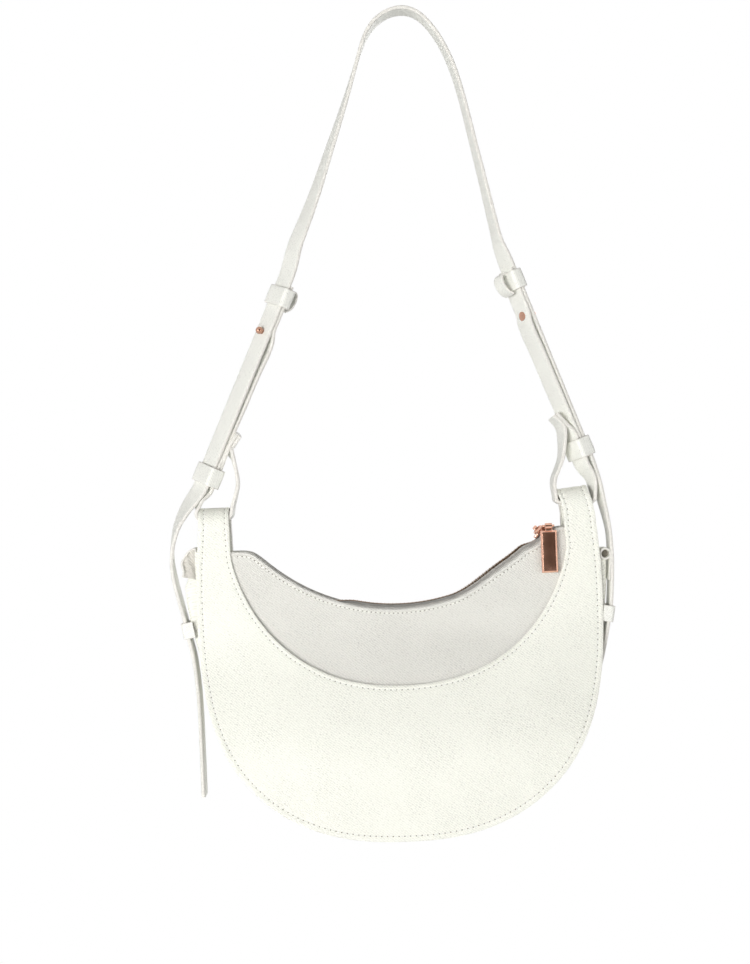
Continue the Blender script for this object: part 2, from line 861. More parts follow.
@dataclass
class Overlay:
    """Crescent of leather with two arms, on one face of the bag."""

    face: Face
    cols_arm: int = 16
    cols_bowl: int = 150
    middle_rows: int = 14
    arm_shift: float = 0.2
    seam_rise: float = 0.26
    outer_seam: float = 3.3
    inner_seam: float = 2.5
    outer_steps: tuple[float, ...] = (0, 0.5, 1.1, 1.9, 2.7, 3.3, 3.9, 4.9, 6.2)
    inner_steps: tuple[float, ...] = (0, 0.4, 0.9, 1.5, 2.0, 2.5, 3.0, 4.0, 5.4)

    def arm_top(self) -> float:
        """Height along the leather where an arm ends."""
        over = math.pi * FORM.arch_r if self.face is Face.FRONT else 0.0
        return over - FORM.arch_r

    def half_lines(self, half: Side) -> tuple[list[Vector], list[Vector]]:
        """Outer and inner edge of one half, drawn as on the right, from the bottom to the arm's top."""
        arm = FORM.arm_x + self.arm_shift
        out_arm, in_arm = arm + FORM.arm_w / 2, arm - FORM.arm_w / 2
        turned = (lambda a: a) if half is Side.RIGHT else (lambda a: 180 - a)
        outer = [FORM.rim_point(turned(a), 0) for a in range(90, 0, -1)]
        side = FORM.half_w
        outer = [Vector((abs(p[0]), p[1])) for p in outer] + [Vector((side, -FORM.side_drop))]
        tail = [Vector(p) for p in (
            (side, -70), (side, -FORM.side_drop), (side - 0.2, -46), (side - 0.9, -32),
            (out_arm + 0.7, -20), (out_arm, -11), (out_arm, -5))]
        outer += catmull_rom(tail, 4)[1:]
        inner = [FORM.scoop_point(turned(a)) for a in range(90, 13, -2)]
        inner = [Vector((abs(p[0]), p[1])) for p in inner]
        tail = inner[-2:] + [Vector(p) for p in ((in_arm - 0.2, -20), (in_arm, -11), (in_arm, -5))]
        inner += catmull_rom(tail, 4)[1:]
        knee = outer[-1][1]
        top = self.arm_top()
        rise = [knee + (top - knee) * (k + 1) / self.cols_arm for k in range(self.cols_arm)]
        outer_low = self.spaced(outer, self.cols_bowl // 2)
        inner_low = self.spaced([p for p in inner if p[1] < knee - 0.1] + [Vector((in_arm, knee))],
                                self.cols_bowl // 2)
        outer_low += [Vector((out_arm, z)) for z in rise]
        inner_low += [Vector((in_arm, z)) for z in rise]
        return outer_low, inner_low

    @staticmethod
    def spaced(line: Sequence[Vector], count: int) -> list[Vector]:
        """A number of even steps along a line."""
        total = sum((b - a).length for a, b in zip(line, line[1:]))
        return resample(line, total / count)

    def lines(self) -> tuple[list[Vector], list[Vector]]:
        """Both edges from the left arm's top over the bottom to the right arm's top."""
        both = []
        for right, left in zip(self.half_lines(Side.RIGHT), self.half_lines(Side.LEFT)):
            both.append([Vector((-p[0], p[1])) for p in reversed(left[1:])] + right)
        return both[0], both[1]

    def relief(self, out_d: float, in_d: float) -> float:
        """Depth of the surface beside its edges and seams."""
        groove = 0.34 * dip(out_d, self.outer_seam, 0.55) + 0.34 * dip(in_d, self.inner_seam, 0.55)
        pad = 0.16 * (dip(out_d, 1.6, 0.8) + dip(in_d, 1.4, 0.7))
        edge = 0.2 * (dip(out_d, 0, 0.5) + dip(in_d, 0, 0.5))
        return groove + edge - pad

    def rows(self, outer: Sequence[Vector], inner: Sequence[Vector]) -> list[list[tuple[float, Vector]]]:
        """Rows of pattern points from the outer to the inner edge, with their depth."""
        out_n, in_n = edge_offsets(outer, 1), edge_offsets(inner, -1)
        rows = []
        far = 99.0
        for d in self.outer_steps:
            rows.append([(self.relief(d, far), p + n * d) for p, n in zip(outer, out_n)])
        inside = [[(self.relief(far, d), p + n * d) for p, n in zip(inner, in_n)] for d in self.inner_steps]
        a, b = [p for _, p in rows[-1]], [p for _, p in inside[-1]]
        for k in range(1, self.middle_rows):
            share = k / self.middle_rows
            rows.append([(0.0, p.lerp(q, share)) for p, q in zip(a, b)])
        return rows + list(reversed(inside))

    def build(self) -> bpy.types.Object:
        """Builds the overlay with its seams."""
        outer, inner = self.lines()
        rows = self.rows(outer, inner)
        cols, count = len(outer) - 1, len(rows) - 1
        node = f"{self.face.word}_overlay"
        name = node + "_leather"
        piece = Piece(name, (Finish.LEATHER, Finish.EDGE, Finish.THREAD, Finish.HOLE))

        def at(u: float, v: float) -> tuple[float, Vector]:
            return rows[round(v * count)][round(u * cols)]

        piece.grid(cols, count,
                   lambda u, v: FORM.settle(FORM.on_face(*at(u, v)[1], at(u, v)[0], self.face)),
                   lambda u, v: tuple(at(u, v)[1]))
        piece.turn_outwards(lambda p: Vector((0, p[1], max(0.0, p[2] + FORM.arch_r) * 2)))
        made = piece.done("bag", [node], FORM.overlay_t, 0.35, rim=1)
        self.sew(name + "_seams", outer, inner)
        return made

    def sew(self, name: str, outer: Sequence[Vector], inner: Sequence[Vector]) -> None:
        """Sews both edges.

        Args:
            name: name of the piece with the stitches.
            outer: outer edge in the pattern.
            inner: inner edge in the pattern.
        """
        piece = Piece(name, (Finish.THREAD, Finish.HOLE))
        for line, side, inset in ((outer, 1, self.outer_seam), (inner, -1, self.inner_seam)):
            flat = resample([p + n * inset for p, n in zip(line, edge_offsets(line, side))], Seam.pitch)
            seam = [FORM.settle(FORM.on_face(p[0], p[1], self.seam_rise, self.face)) for p in flat]
            Seam().sew(piece, seam, lambda i, pts: surface_normal(pts[i], self.face), 0, 1)
        piece.done("bag")


def surface_normal(p: Vector, face: Face) -> Vector:
    """Normal of the bag's face at a point."""
    if p[2] > -FORM.arch_r:
        return Vector((0, p[1], p[2] + FORM.arch_r)).normalized()
    slope = FORM.half_depth(p[2] + 0.5) - FORM.half_depth(p[2] - 0.5)
    return Vector((0, face.value, -slope)).normalized()


def rise_share(x: float) -> float:
    """Share by which the zip edge rises over its arc at the right."""
    return smooth((x - 32) / 32) * smooth((88 - x) / 13)


@dataclass
class Panel:
    """Panel behind the scoop with a folded rim along the zip."""

    face: Face
    half_x: float = 114.0
    cols: int = 130
    edge_drop: float = 0.9
    edge_rise: float = 4.2
    soft: float = 2.5
    left_end: float = 24.5
    right_end: float = 17.2
    left_lean: float = 1.3
    right_lean: float = 0.5
    crease: float = 0.8
    dent: float = 2.2
    rim_w: float = 2.4
    seam: float = 2.9
    seam_x: float = 97.0
    steps: tuple[float, ...] = (0, 0.35, 0.8, 1.4, 1.9, 2.2, 2.5, 2.9, 3.5, 5.0, 8.0)
    lower_rows: int = 26

    def top(self, x: float) -> float:
        """Height of the zip edge."""
        inner = min(abs(x), 119.0)
        arc = FORM.zip_z - math.sqrt(FORM.zip_r ** 2 - inner ** 2)
        z = arc - self.edge_drop + self.edge_rise * rise_share(x)
        end = self.left_end if x < 0 else self.right_end
        return -self.soft * math.log(math.exp(-z / self.soft) + math.exp(end / self.soft))

    def bottom(self, x: float) -> float:
        """Height of the hidden lower edge."""
        half = FORM.half_w - FORM.margin_w - 0.4
        bowl = FORM.body_h - FORM.side_drop - FORM.margin_w - 0.4
        p = FORM.right_power
        return -FORM.side_drop - bowl * (1 - min(0.999, abs(x) / half) ** p) ** (1 / p)

    def edge_point(self, x: float, d: float) -> Vector:
        """Pattern point at a distance from the zip edge."""
        lean = math.asin(min(abs(x), FORM.zip_r * 0.9) / FORM.zip_r) * (1 - smooth((abs(x) - 78) / 22))
        return Vector((x + math.copysign(d * math.sin(lean), x), self.top(x) - d * math.cos(lean)))

    def relief(self, d: float) -> float:
        """Depth of the rim's roll and seam."""
        roll = -0.55 * smooth(d / 0.9) * (1 - smooth((d - self.rim_w + 0.3) / 0.5))
        return roll + 0.22 * dip(d, self.seam, 0.5) + 0.35 * dip(d, 0, 0.4)

    def hollow(self, x: float, z: float) -> float:
        """Extra depth where the panel falls back behind the scoop's edge and sags."""
        lean = mix(self.left_lean, self.right_lean, smooth((x + 70) / 140))
        edge = lean * smooth((-z - 30) / 50) * smooth((self.half_x - abs(x)) / 14)
        crease = self.crease * dip(x, 5, 8) * smooth((-z - 62) / 20) * smooth((z + 112) / 24)
        return edge + crease + self.dent * dip(x, 42, 34) * dip(z, -76, 11)

    def at(self, u: float, v: float, base: float) -> Vector:
        """Point of the panel.

        Args:
            u: share from left to right.
            v: share of the rows from the zip edge down.
            base: depth of the panel's outer face.

        Returns:
            The point in three dimensions.
        """
        p, relief = self.flat_point(u, v)
        depth = base + relief + self.hollow(p[0], p[1])
        return FORM.on_face(p[0], p[1], depth, self.face)

    def flat_point(self, u: float, v: float) -> tuple[Vector, float]:
        """Pattern point and relief at two shares."""
        x = mix(-self.half_x, self.half_x, u)
        rows = len(self.steps) - 1 + self.lower_rows
        k = round(v * rows)
        if k < len(self.steps):
            d = self.steps[k]
            return self.edge_point(x, d), self.relief(d)
        start = self.edge_point(x, self.steps[-1])
        share = (k - len(self.steps) + 1) / self.lower_rows
        return start.lerp(Vector((x, self.bottom(x))), share), 0.0

    def sheet(self, piece: Piece, base: float) -> None:
        """Adds the panel's sheet to a piece at a depth."""
        rows = len(self.steps) - 1 + self.lower_rows
        piece.grid(self.cols, rows, lambda u, v: self.at(u, v, base),
                   lambda u, v: tuple(self.flat_point(u, v)[0]))
        piece.turn_outwards(lambda p: Vector((0, self.face.value, 0)))

    def build(self) -> bpy.types.Object:
        """Builds the panel with the seam of its rim."""
        node = f"{self.face.word}_panel"
        piece = Piece(node + "_leather", (Finish.PANEL, Finish.EDGE))
        self.sheet(piece, FORM.overlay_t)
        made = piece.done("bag", [node], FORM.gusset_t, 0.4, rim=0)
        seams = Piece(node + "_leather_seam", (Finish.THREAD, Finish.HOLE))
        line = []
        for k in range(81):
            p = self.edge_point(mix(-self.seam_x, self.seam_x, k / 80), self.seam)
            depth = FORM.overlay_t + 0.18 + self.hollow(p[0], p[1])
            line.append(FORM.on_face(p[0], p[1], depth, self.face))
        Seam(2.7, 2.0).sew(seams, line, lambda i, pts: surface_normal(pts[i], self.face), 0, 1)
        seams.done("bag")
        return made


@dataclass
class Gusset:
    """Strip round the sides and the bottom, with turned-out edges and folded ends."""

    step: float = 1.5
    top_angle: float = 54.0
    right_top: float = 34.0
    notch: float = 2.0
    notch_drop: float = 46.0
    roll: tuple[float, float] = (126.1, -34.9)
    pleat: tuple[tuple[float, float], ...] = (
        (-122.6, -40.6), (-122.4, -30.0), (-122.6, -22.6), (-125.2, -22.4), (-128.0, -24.6), (-130.4, -28.2),
        (-131.3, -30.4), (-131.0, -33.0), (-130.4, -36.2), (-131.2, -38.8), (-132.2, -41.0))

    def profile(self, grow: float, edge_y: float) -> list[Vector]:
        """Half section as offsets outwards and depth, from the turned edge to the middle.

        Args:
            grow: offset of the web's outer face from the outline.
            edge_y: half depth under the overlay.

        Returns:
            Points of offset and depth.
        """
        e = grow - 0.8
        y = edge_y - 0.8
        corner = [Vector(p) for p in (
            (0.9, y), (0.0, y), (-2.2, y), (-4.0, y - 0.25), (-4.9, y - 1.0),
            (mix(-4.9, e, 0.3), y - 1.75), (mix(-4.9, e, 0.8), y - 2.05), (e, y - 3.4), (e + 0.12, y - 4.9))]
        line = catmull_rom(corner + [Vector((e + 0.2, y * 0.35))], 3)
        return line + [Vector((e + 0.2, y * s)) for s in (0.35, 0.18, 0.0)]

    def build(self) -> bpy.types.Object:
        """Builds the gusset with both folded ends."""
        piece = Piece("gusset_leather", (Finish.LEATHER, Finish.EDGE))
        count = round((180 + self.right_top + self.top_angle) / self.step)
        angles = [mix(-self.right_top, 180 + self.top_angle, k / count) for k in range(count + 1)]
        rings, along = [], [0.0]
        for a in angles:
            centre = FORM.rim_point(a, 0)
            out = FORM.rim_point(a, 1) - centre
            grow = FORM.web_grow(a)
            if centre[1] > -self.notch_drop and centre[0] < 0:
                grow -= self.notch * smooth((centre[1] + self.notch_drop) / 6)
            half = self.profile(grow, FORM.half_depth(centre[1]) - FORM.overlay_t)
            whole = half + [Vector((p[0], -p[1])) for p in reversed(half[:-1])]
            rings.append([Vector((centre[0] + out[0] * off, -y, centre[1] + out[1] * off))
                          for off, y in whole])
            if len(rings) > 1:
                along.append(along[-1] + (rings[-1][0] - rings[-2][0]).length)
        n = len(rings[0]) - 1
        across = [0.0]
        for k in range(n):
            across.append(across[-1] + (rings[count // 2][k + 1] - rings[count // 2][k]).length)
        piece.grid(count, n, lambda u, v: rings[round(u * count)][round(v * n)],
                   lambda u, v: (along[round(u * count)], across[round(v * n)]))
        piece.turn_outwards(lambda p: Vector((p[0], 0, p[2] + 90)).normalized())
        for side in Side:
            self.ear(side)
        return piece.done("bag", ["gusset"], FORM.gusset_t, 0.3, rim=1)

    def ear(self, side: Side) -> None:
        """Builds the folded end at one side: a pleat on the left, a small roll on the right."""
        piece = Piece(f"gusset_end_{side.word}", (Finish.LEATHER, Finish.EDGE, Finish.SUEDE, Finish.HOLE))
        if side is Side.LEFT:
            fold = catmull_rom([Vector((x, 0, z)) for x, z in self.pleat], 4)
            self.strip(piece, fold)
            inner = [Vector((self.pleat[0][0], 0, min(p[2], self.pleat[0][1]))) for p in fold]
            last = len(fold) - 1

            def at(u: float, v: float) -> Vector:
                p = fold[round(u * last)].lerp(inner[round(u * last)], v)
                crease = 0.5 * math.sin(1.1 * p[0] + 0.4 * p[2]) + 0.3 * math.sin(0.9 * p[2])
                return Vector((p[0], -6.6 + crease, p[2]))

            piece.grid(last, 8, at, lambda u, v: (u * 30, v * 9), 2)
        else:
            x, z = self.roll
            angles = [math.radians(mix(-20, 330, k / 22)) for k in range(23)]
            line = [Vector((x + 1.8, 0, z - 16)), Vector((x + 2.4, 0, z - 9)), Vector((x + 2.9, 0, z - 4))]
            line += [Vector((x + 3.1 * math.cos(a), 0, z + 3.1 * math.sin(a))) for a in angles]
            self.strip(piece, line)
            piece.sweep([[Vector((x + 2.7 * math.cos(a), y, z + 2.7 * math.sin(a)))
                          for a in round_angles(16)] for y in (-2.0, 0.0, 6.4)], 3)
        piece.done("bag", sharp=50)

    @staticmethod
    def strip(piece: Piece, path: Sequence[Vector]) -> None:
        """Adds the gusset's strip along a path."""
        line = resample(path, 1.0)
        rings = []
        for i, (p, along) in enumerate(zip(line, directions(line))):
            out = Vector((-along[2], 0, along[0]))
            rings.append(flat_section(p, Vector((0, 1, 0)), out, 15.4 + 0.35 * math.sin(i / 3.1), 1.2))
        piece.sweep(rings, 0, False, 1, EDGE_ROWS)


# Straps


EDGE_STEPS = 8
FACE_STEPS = 6
EDGE_ROWS = tuple(range(EDGE_STEPS)) + tuple(range(EDGE_STEPS + FACE_STEPS, 2 * EDGE_STEPS + FACE_STEPS))


def flat_section(centre: Vector, across: Vector, out: Vector, width: float, thick: float,
                 crown: float = 0.12) -> list[Vector]:
    """Rounded section of a flat strap.

    Args:
        centre: middle of the section.
        across: unit vector across the strap.
        out: unit vector through its thickness.
        width: width of the strap.
        thick: thickness of the strap.
        crown: how far its faces swell in the middle.

    Returns:
        The points of the section, from one edge over a face to the other edge and back.
    """
    r = thick / 2
    flat = width / 2 - r * 0.7
    half = []
    for k in range(EDGE_STEPS + 1):
        a = -math.pi / 2 + math.pi * k / EDGE_STEPS
        half.append((flat + r * 0.7 * math.cos(a) - 0.1 * dip(a, 0, 0.35), r * math.sin(a)))
    for k in range(1, FACE_STEPS):
        s = 1 - 2 * k / FACE_STEPS
        half.append((flat * s, r + crown * (1 - s * s)))
    points = half + [(-w, -n) for w, n in half]
    return [centre + across * w + out * n for w, n in points]


@dataclass(frozen=True)
class StrapSide:
    """Place of the double section at one side, and the routes of what hangs there.

    Routes are shares of the loop's height or of the loose end's length. The section follows the part,
    apart from its turn on the right, where the photograph shows its inner face. The hole and the stud
    are given by their heights in the section, and the bow is the hanger's.
    """

    side: Side
    foot_x: float
    foot_z: float
    section: float
    lean: float
    turn: float
    stud: float
    tail_l: float
    band_x: float
    tip: tuple[tuple[float, float], ...]
    outer: tuple[tuple[float, float], ...]
    inner: tuple[tuple[float, float], ...]
    tail: tuple[tuple[float, float], ...]
    tail_turn: tuple[float, ...]
    tail_end: tuple[tuple[float, float], ...]
    lift: float
    inner_shift: float
    bow: float
    hole: float

    def axes(self) -> tuple[Vector, Vector, Vector]:
        """Outwards, across and up of the double section on the right."""
        t, lean = math.radians(self.turn), math.radians(self.lean)
        out = Vector((math.cos(t) * math.cos(lean), -math.sin(t), math.cos(t) * math.sin(lean)))
        across = Vector((math.sin(t) * math.cos(lean), math.cos(t), math.sin(t) * math.sin(lean)))
        return out, across, Vector((-math.sin(lean), 0, math.cos(lean)))

    def point(self, out: float, across: float, up: float) -> Vector:
        """Point in the double section's own frame."""
        x, y, z = self.axes()
        p = Vector((self.foot_x, 0, self.foot_z)) + x * out + y * across + z * up
        return self.shown(p)

    def shown(self, p: Vector) -> Vector:
        """Mirrors a point of the right side where this is the left."""
        return Vector((p[0] * self.side.value, *p[1:]))

    def pulled(self, p: Vector) -> Vector:
        """Lets the strap's pull lift a loop's run, and move its inner strip."""
        low = 1 - smooth((p[2] + 4) / 22)
        side = max(-1.0, min(1.0, (p[0] - FORM.arm_x) / 11))
        inner = smooth((FORM.arm_x - FORM.arch_w / 2 - p[0]) / 3) * (1 - smooth((p[2] - 8) / 24))
        return p + Vector((self.inner_shift * inner - 0.8 * side * low, 0, self.lift * low, 0))

    def route_point(self, up: float, out: float) -> Vector:
        """Point of a route on the right side: X, Y, Z and turn."""
        x, _, z = self.axes()
        p = Vector((self.foot_x, 0, self.foot_z)) + x * out + z * up
        return Vector((*p, self.turn))


LEFT_SIDE = StrapSide(
    side=Side.LEFT, foot_x=114.6, foot_z=22.8, section=117.8, lean=24.6, turn=40, stud=94, tail_l=196,
    band_x=127.68, lift=3.8, inner_shift=0.0, bow=2.1, hole=44.5,
    tip=((-0.272, 1.000), (-0.165, 0.866)),
    outer=((0.165, 0.250), (0.197, 0.130)),
    inner=((-0.245, 0.286), (-0.265, 0.482), (-0.224, 0.714)),
    tail=((0.073, -0.106), (0.104, -0.167), (0.119, -0.244), (0.113, -0.322)),
    tail_turn=(0.7, 0.4, 0.15, 0),
    tail_end=((-0.019, -0.097), (-0.029, -0.219), (-0.031, -0.403), (-0.031, -0.520)))
RIGHT_SIDE = StrapSide(
    side=Side.RIGHT, foot_x=114.3, foot_z=30.0, section=109.8, lean=19.9, turn=-27, stud=87, tail_l=180,
    band_x=125.03, lift=4.8, inner_shift=-2.4, bow=1.3, hole=48.0,
    tip=((-0.201, 1.054), (-0.103, 0.920)),
    outer=((0.163, 0.330), (0.194, 0.160)),
    inner=((-0.213, 0.232), (-0.181, 0.446), (-0.140, 0.643)),
    tail=((0.050, -0.120), (0.068, -0.194), (0.084, -0.278), (0.088, -0.350), (0.087, -0.417)),
    tail_turn=(0.5, 0.2, 0, 0, 0),
    tail_end=((-0.028, -0.133), (-0.057, -0.228), (-0.094, -0.333), (-0.144, -0.439)))


@dataclass
class Straps:
    """Shoulder strap, hangers, loops, loose ends, keepers and studs."""

    width: float = 15.0
    thick: float = 2.2
    drop: float = 301.0
    hang_x: float = 14.0
    loop_h: float = 56.0
    keeper_h: float = 12.0
    keeper_t: float = 1.6
    curl_w: float = 10.0
    curl_t: float = 1.2
    curl_path: tuple[tuple[float, float], ...] = (
        (-0.6, 4.4), (-1.6, 5.6), (-3.4, 6.0), (-5.2, 4.4),
        (-5.8, 1.4), (-5.4, -2.2), (-3.8, -5.4), (-1.6, -7.2))
    hanger_top: float = 23.0
    hanger_end: float = 8.0
    hole_h: float = 1.2
    slit_h: float = 3.3
    slit_up: float = 1.9
    stud_r: float = 2.3
    stud_neck: float = 1.5
    stud_base: tuple[tuple[float, float], ...] = (
        (0.0, 1.3), (2.0, 1.2), (3.2, 0.9), (3.7, 0.5), (3.7, 0.2), (3.5, 0.0))
    run_r: float = 3.2
    band_drop: float = 71.0
    band_h: float = 10.0
    band_tilt: float = 10.5
    crown_lean: float = 2.8
    crown_turn: float = 0.5
    tip_turns: tuple[float, float] = (0.3, 0.5)
    crown: tuple[tuple[float, float, float, float], ...] = (
        (-0.165, -0.338, 0.62, 0), (-0.101, -0.137, 0.2, 0), (-0.060, -0.035, 0, 0), (0, 0, 0, 0),
        (0.056, -0.027, 0, 0), (0.107, -0.125, 0, 0.3), (0.149, -0.310, 0, 0.5))

    def ribbon(self, piece: Piece, route: Sequence[Vector], width: float | None = None,
               pointed: float = 0.0) -> None:
        """Adds a strap along a route of X, Y, Z and turn.

        Args:
            piece: the piece to add it to.
            route: points on the way, downwards on the right and upwards on the left.
            width: width of the strap where it isn't the usual one.
            pointed: length over which the far end narrows to a rounded tip.
        """
        points = [Vector(p[:3]) for p in route]
        rings = []
        lengths = [0.0]
        for a, b in zip(points, points[1:]):
            lengths.append(lengths[-1] + (b - a).length)
        for i, (p, along) in enumerate(zip(points, directions(points))):
            out = Vector((-along[2], 0, along[0])).normalized()
            across = out.cross(along)
            t = math.radians(route[i][3])
            w = across * math.cos(t) + out * math.sin(t)
            n = out * math.cos(t) - across * math.sin(t)
            size = width or self.width
            if pointed:
                left = lengths[-1] - lengths[i]
                if left < pointed:
                    size *= max(0.25, math.sqrt(max(0.0, 1 - (1 - left / pointed) ** 2)))
            rings.append(flat_section(p, w, n, size, self.thick))
        piece.sweep(rings, 0, False, 1, EDGE_ROWS)

    @staticmethod
    def mirrored(p: Vector) -> Vector:
        """Route point of the other side."""
        return Vector((-p[0], *p[1:]))

    def layer(self, number: int) -> float:
        """Middle of a layer of the double section, outwards from the joint of the outer two."""
        return {1: self.thick / 2 + 0.02, 2: -self.thick / 2, 3: -1.5 * self.thick - 0.02}[number]

    def strap_route(self) -> list[Vector]:
        """Route of the shoulder strap from the left lower keeper to the right one."""
        up_l = LEFT_SIDE.section + self.hanger_top
        up_r = RIGHT_SIDE.section + self.hanger_top
        top = self.layer(1)
        start = [self.mirrored(LEFT_SIDE.route_point(u, top)) for u in self.straight_steps(up_l)]
        crown = [self.mirrored(LEFT_SIDE.route_point(up_l + 1 - self.width, top)),
                 self.mirrored(LEFT_SIDE.route_point(up_l + 1, top))]
        crown += [Vector((self.hang_x + x * self.drop, 0, self.drop + self.thick / 2 + z * self.drop,
                          a * LEFT_SIDE.turn + b * RIGHT_SIDE.turn)) for x, z, a, b in self.crown]
        crown += [RIGHT_SIDE.route_point(up_r + 1, top), RIGHT_SIDE.route_point(up_r + 1 - self.width, top)]
        end = [RIGHT_SIDE.route_point(u, top) for u in reversed(self.straight_steps(up_r))]
        return [self.eased(p) for p in start + catmull_rom(crown, 14) + end]

    @staticmethod
    def eased(p: Vector) -> Vector:
        """Lets the strap turn edge-on above the right keeper and lean outwards above the left one."""
        if p[0] > 0:
            return Vector((*p[:3], p[3] * mix(1, Straps.crown_turn, smooth((p[2] - 144) / 20))))
        share = smooth((p[2] - 141) / 24) * (1 - smooth((p[2] - 200) / 60))
        return p + Vector((-Straps.crown_lean * share, 0, 0, 0))

    @staticmethod
    def straight_steps(up: float) -> list[float]:
        """Heights of the rings on a straight stretch."""
        return [up * k / 30 for k in range(31)]

    def build(self) -> None:
        """Builds every piece of the straps."""
        strap = Piece("shoulder_strap_leather", (Finish.STRAP, Finish.EDGE, Finish.HOLE))
        self.ribbon(strap, self.strap_route())
        self.holes(strap)
        strap.done("strap", ["shoulder_strap"], sharp=60)
        for spec in (LEFT_SIDE, RIGHT_SIDE):
            self.hanger(spec)
            self.loop(spec)
            self.tail(spec)
            self.keeper(spec, spec.section, 2, "upper")
            self.keeper(spec, 0.0, 3, "lower")
            self.band(spec)
        self.studs()

    def holes(self, piece: Piece) -> None:
        """Adds the punched holes and the stud's slit on the strap's outer face."""
        frames = []
        for spec in (LEFT_SIDE, RIGHT_SIDE):
            out, across, rise = (spec.shown(axis) for axis in spec.axes())
            for up, length in ((spec.hole, self.hole_h), (spec.stud + self.slit_up, self.slit_h)):
                at = spec.point(self.thick + 0.02, 0, up)
                turn = Matrix((across * 0.75, rise * length, out * 0.12)).transposed()
                frames.append(Matrix.Translation(at) @ turn.to_4x4())
        piece.dots(frames, 10, 6, 2)

    def shown_route(self, spec: StrapSide, route: Sequence[Vector]) -> list[Vector]:
        """A right-hand route, turned into the left one where needed."""
        if spec.side is Side.RIGHT:
            return list(route)
        return [self.mirrored(p) for p in reversed(route)]

    def hanger(self, spec: StrapSide) -> None:
        """Builds the inner strip with the stud, a little bowed between the keepers."""
        route = []
        top = spec.section + self.hanger_end
        for k in range(41):
            up = mix(top, -self.keeper_h / 2, k / 40)
            share = max(0.0, min(1.0, up / spec.section))
            gap = 0.8 + 1.6 * dip(share, 0.76, 0.12) + 0.9 * dip(share, 0.1, 0.1)
            bow = spec.bow * math.sin(math.pi * share) ** 2 * gap * smooth((0.83 - share) / 0.07)
            route.append(spec.route_point(up, self.layer(2) - bow))
        node = f"hanger_{spec.side.word}"
        piece = Piece(node + "_leather", (Finish.STRAP, Finish.EDGE))
        self.ribbon(piece, self.shown_route(spec, route))
        piece.done("strap", [node], sharp=60)

    def loop_point(self, spec: StrapSide, share: tuple[float, float], turn: float, way: int) -> Vector:
        """Point of a loop beside the tunnel."""
        run_z = self.run_r - self.thick / 2 - FORM.arch_r
        y = -turn * self.layer(3) * math.sin(math.radians(spec.turn))
        return Vector((FORM.arm_x + share[0] * self.loop_h, y, run_z + share[1] * self.loop_h,
                       way * turn * spec.turn))

    def loop(self, spec: StrapSide) -> None:
        """Builds the closed loop through the tunnel."""
        third, straight = self.layer(3), self.keeper_h / 2 + 3
        run_z = self.run_r - self.thick / 2 - FORM.arch_r
        half = FORM.arch_w / 2
        tip, bend = (self.loop_point(spec, s, k, 1) for s, k in zip(spec.tip, self.tip_turns))
        strip = catmull_rom([2 * tip - bend, tip, bend, spec.route_point(straight, third),
                             spec.route_point(0, third)], 8)
        strip += [spec.route_point(u, third) for u in (6, 3, 0, -3, -6)]
        outer = [self.loop_point(spec, s, t, 1) for s, t in zip(spec.outer, (0.6, 0.3))]
        edge = FORM.arm_x + half + self.run_r
        strip += catmull_rom([spec.route_point(0, third), spec.route_point(-straight, third)] + outer
                             + [Vector((edge, 0, run_z + self.run_r, 0)), Vector((edge, 0, run_z, 0))], 8)
        for way, turns in ((1, range(80, -1, -10)), (-1, range(0, 81, 10))):
            for a in (math.radians(t) for t in turns):
                strip.append(Vector((FORM.arm_x + way * (half + self.run_r * math.sin(a)), 0,
                                     run_z + self.run_r * (1 - math.cos(a)), 0)))
        tip, bend = (self.loop_point(spec, s, k, -1) for s, k in zip(spec.tip, self.tip_turns))
        along = Vector((tip - bend)[:3]).normalized()
        t = math.radians(spec.turn * self.tip_turns[0])
        shift = (self.thick + 0.1) * Vector((-along[2] * math.cos(t), math.sin(t), along[0] * math.cos(t), 0))
        edge = FORM.arm_x - half - self.run_r
        inner = [self.loop_point(spec, s, k, -1) for s, k in zip(spec.inner, (0.05, 0.1, 0.2))]
        strip += catmull_rom([Vector((edge, 0, run_z, 0)), Vector((edge, 0, run_z + self.run_r, 0))] + inner
                             + [bend + shift, tip + shift, 2 * tip - bend + shift], 8)
        node = f"loop_{spec.side.word}"
        piece = Piece(node + "_leather", (Finish.STRAP, Finish.EDGE))
        self.ribbon(piece, self.shown_route(spec, [spec.pulled(p) for p in strip]))
        piece.done("strap", [node], sharp=60)

    def tail(self, spec: StrapSide) -> None:
        """Builds the loose end, which bends between the strap and the bag."""
        top, straight = self.layer(1), self.keeper_h / 2 + 3
        tilt = math.radians(self.band_tilt)
        upper = [Vector((spec.foot_x + x * spec.tail_l, 0, spec.foot_z + z * spec.tail_l, k * spec.turn))
                 for (x, z), k in zip(spec.tail, spec.tail_turn)]
        out = spec.band_x + (1.3 + self.thick / 2) / math.cos(tilt)
        slope = Vector((math.sin(tilt), 0, math.cos(tilt), 0))
        band = [Vector((out, 0, -self.band_drop, 0)) + slope * (u * self.band_h) for u in (0.6, 0, -0.6)]
        lower = [Vector((out + x * spec.tail_l, 0, z * spec.tail_l - self.band_drop, 0))
                 for x, z in spec.tail_end]
        route = [spec.route_point(0, top), spec.route_point(-6, top)]
        route += catmull_rom([spec.route_point(0, top), spec.route_point(-straight, top)] + upper + band
                             + lower + [2 * lower[3] - lower[2]], 8)
        piece = Piece(f"loose_end_{spec.side.word}_leather", (Finish.STRAP, Finish.EDGE))
        self.ribbon(piece, self.shown_route(spec, route))
        start = spec.shown(Vector((spec.foot_x + 6, 0, spec.foot_z - 10)))
        end = Vector((start[0], 0, -48))
        piece.done("bag", [f"strap_tail_{spec.side.word}"], bend=(start, end), sharp=60)

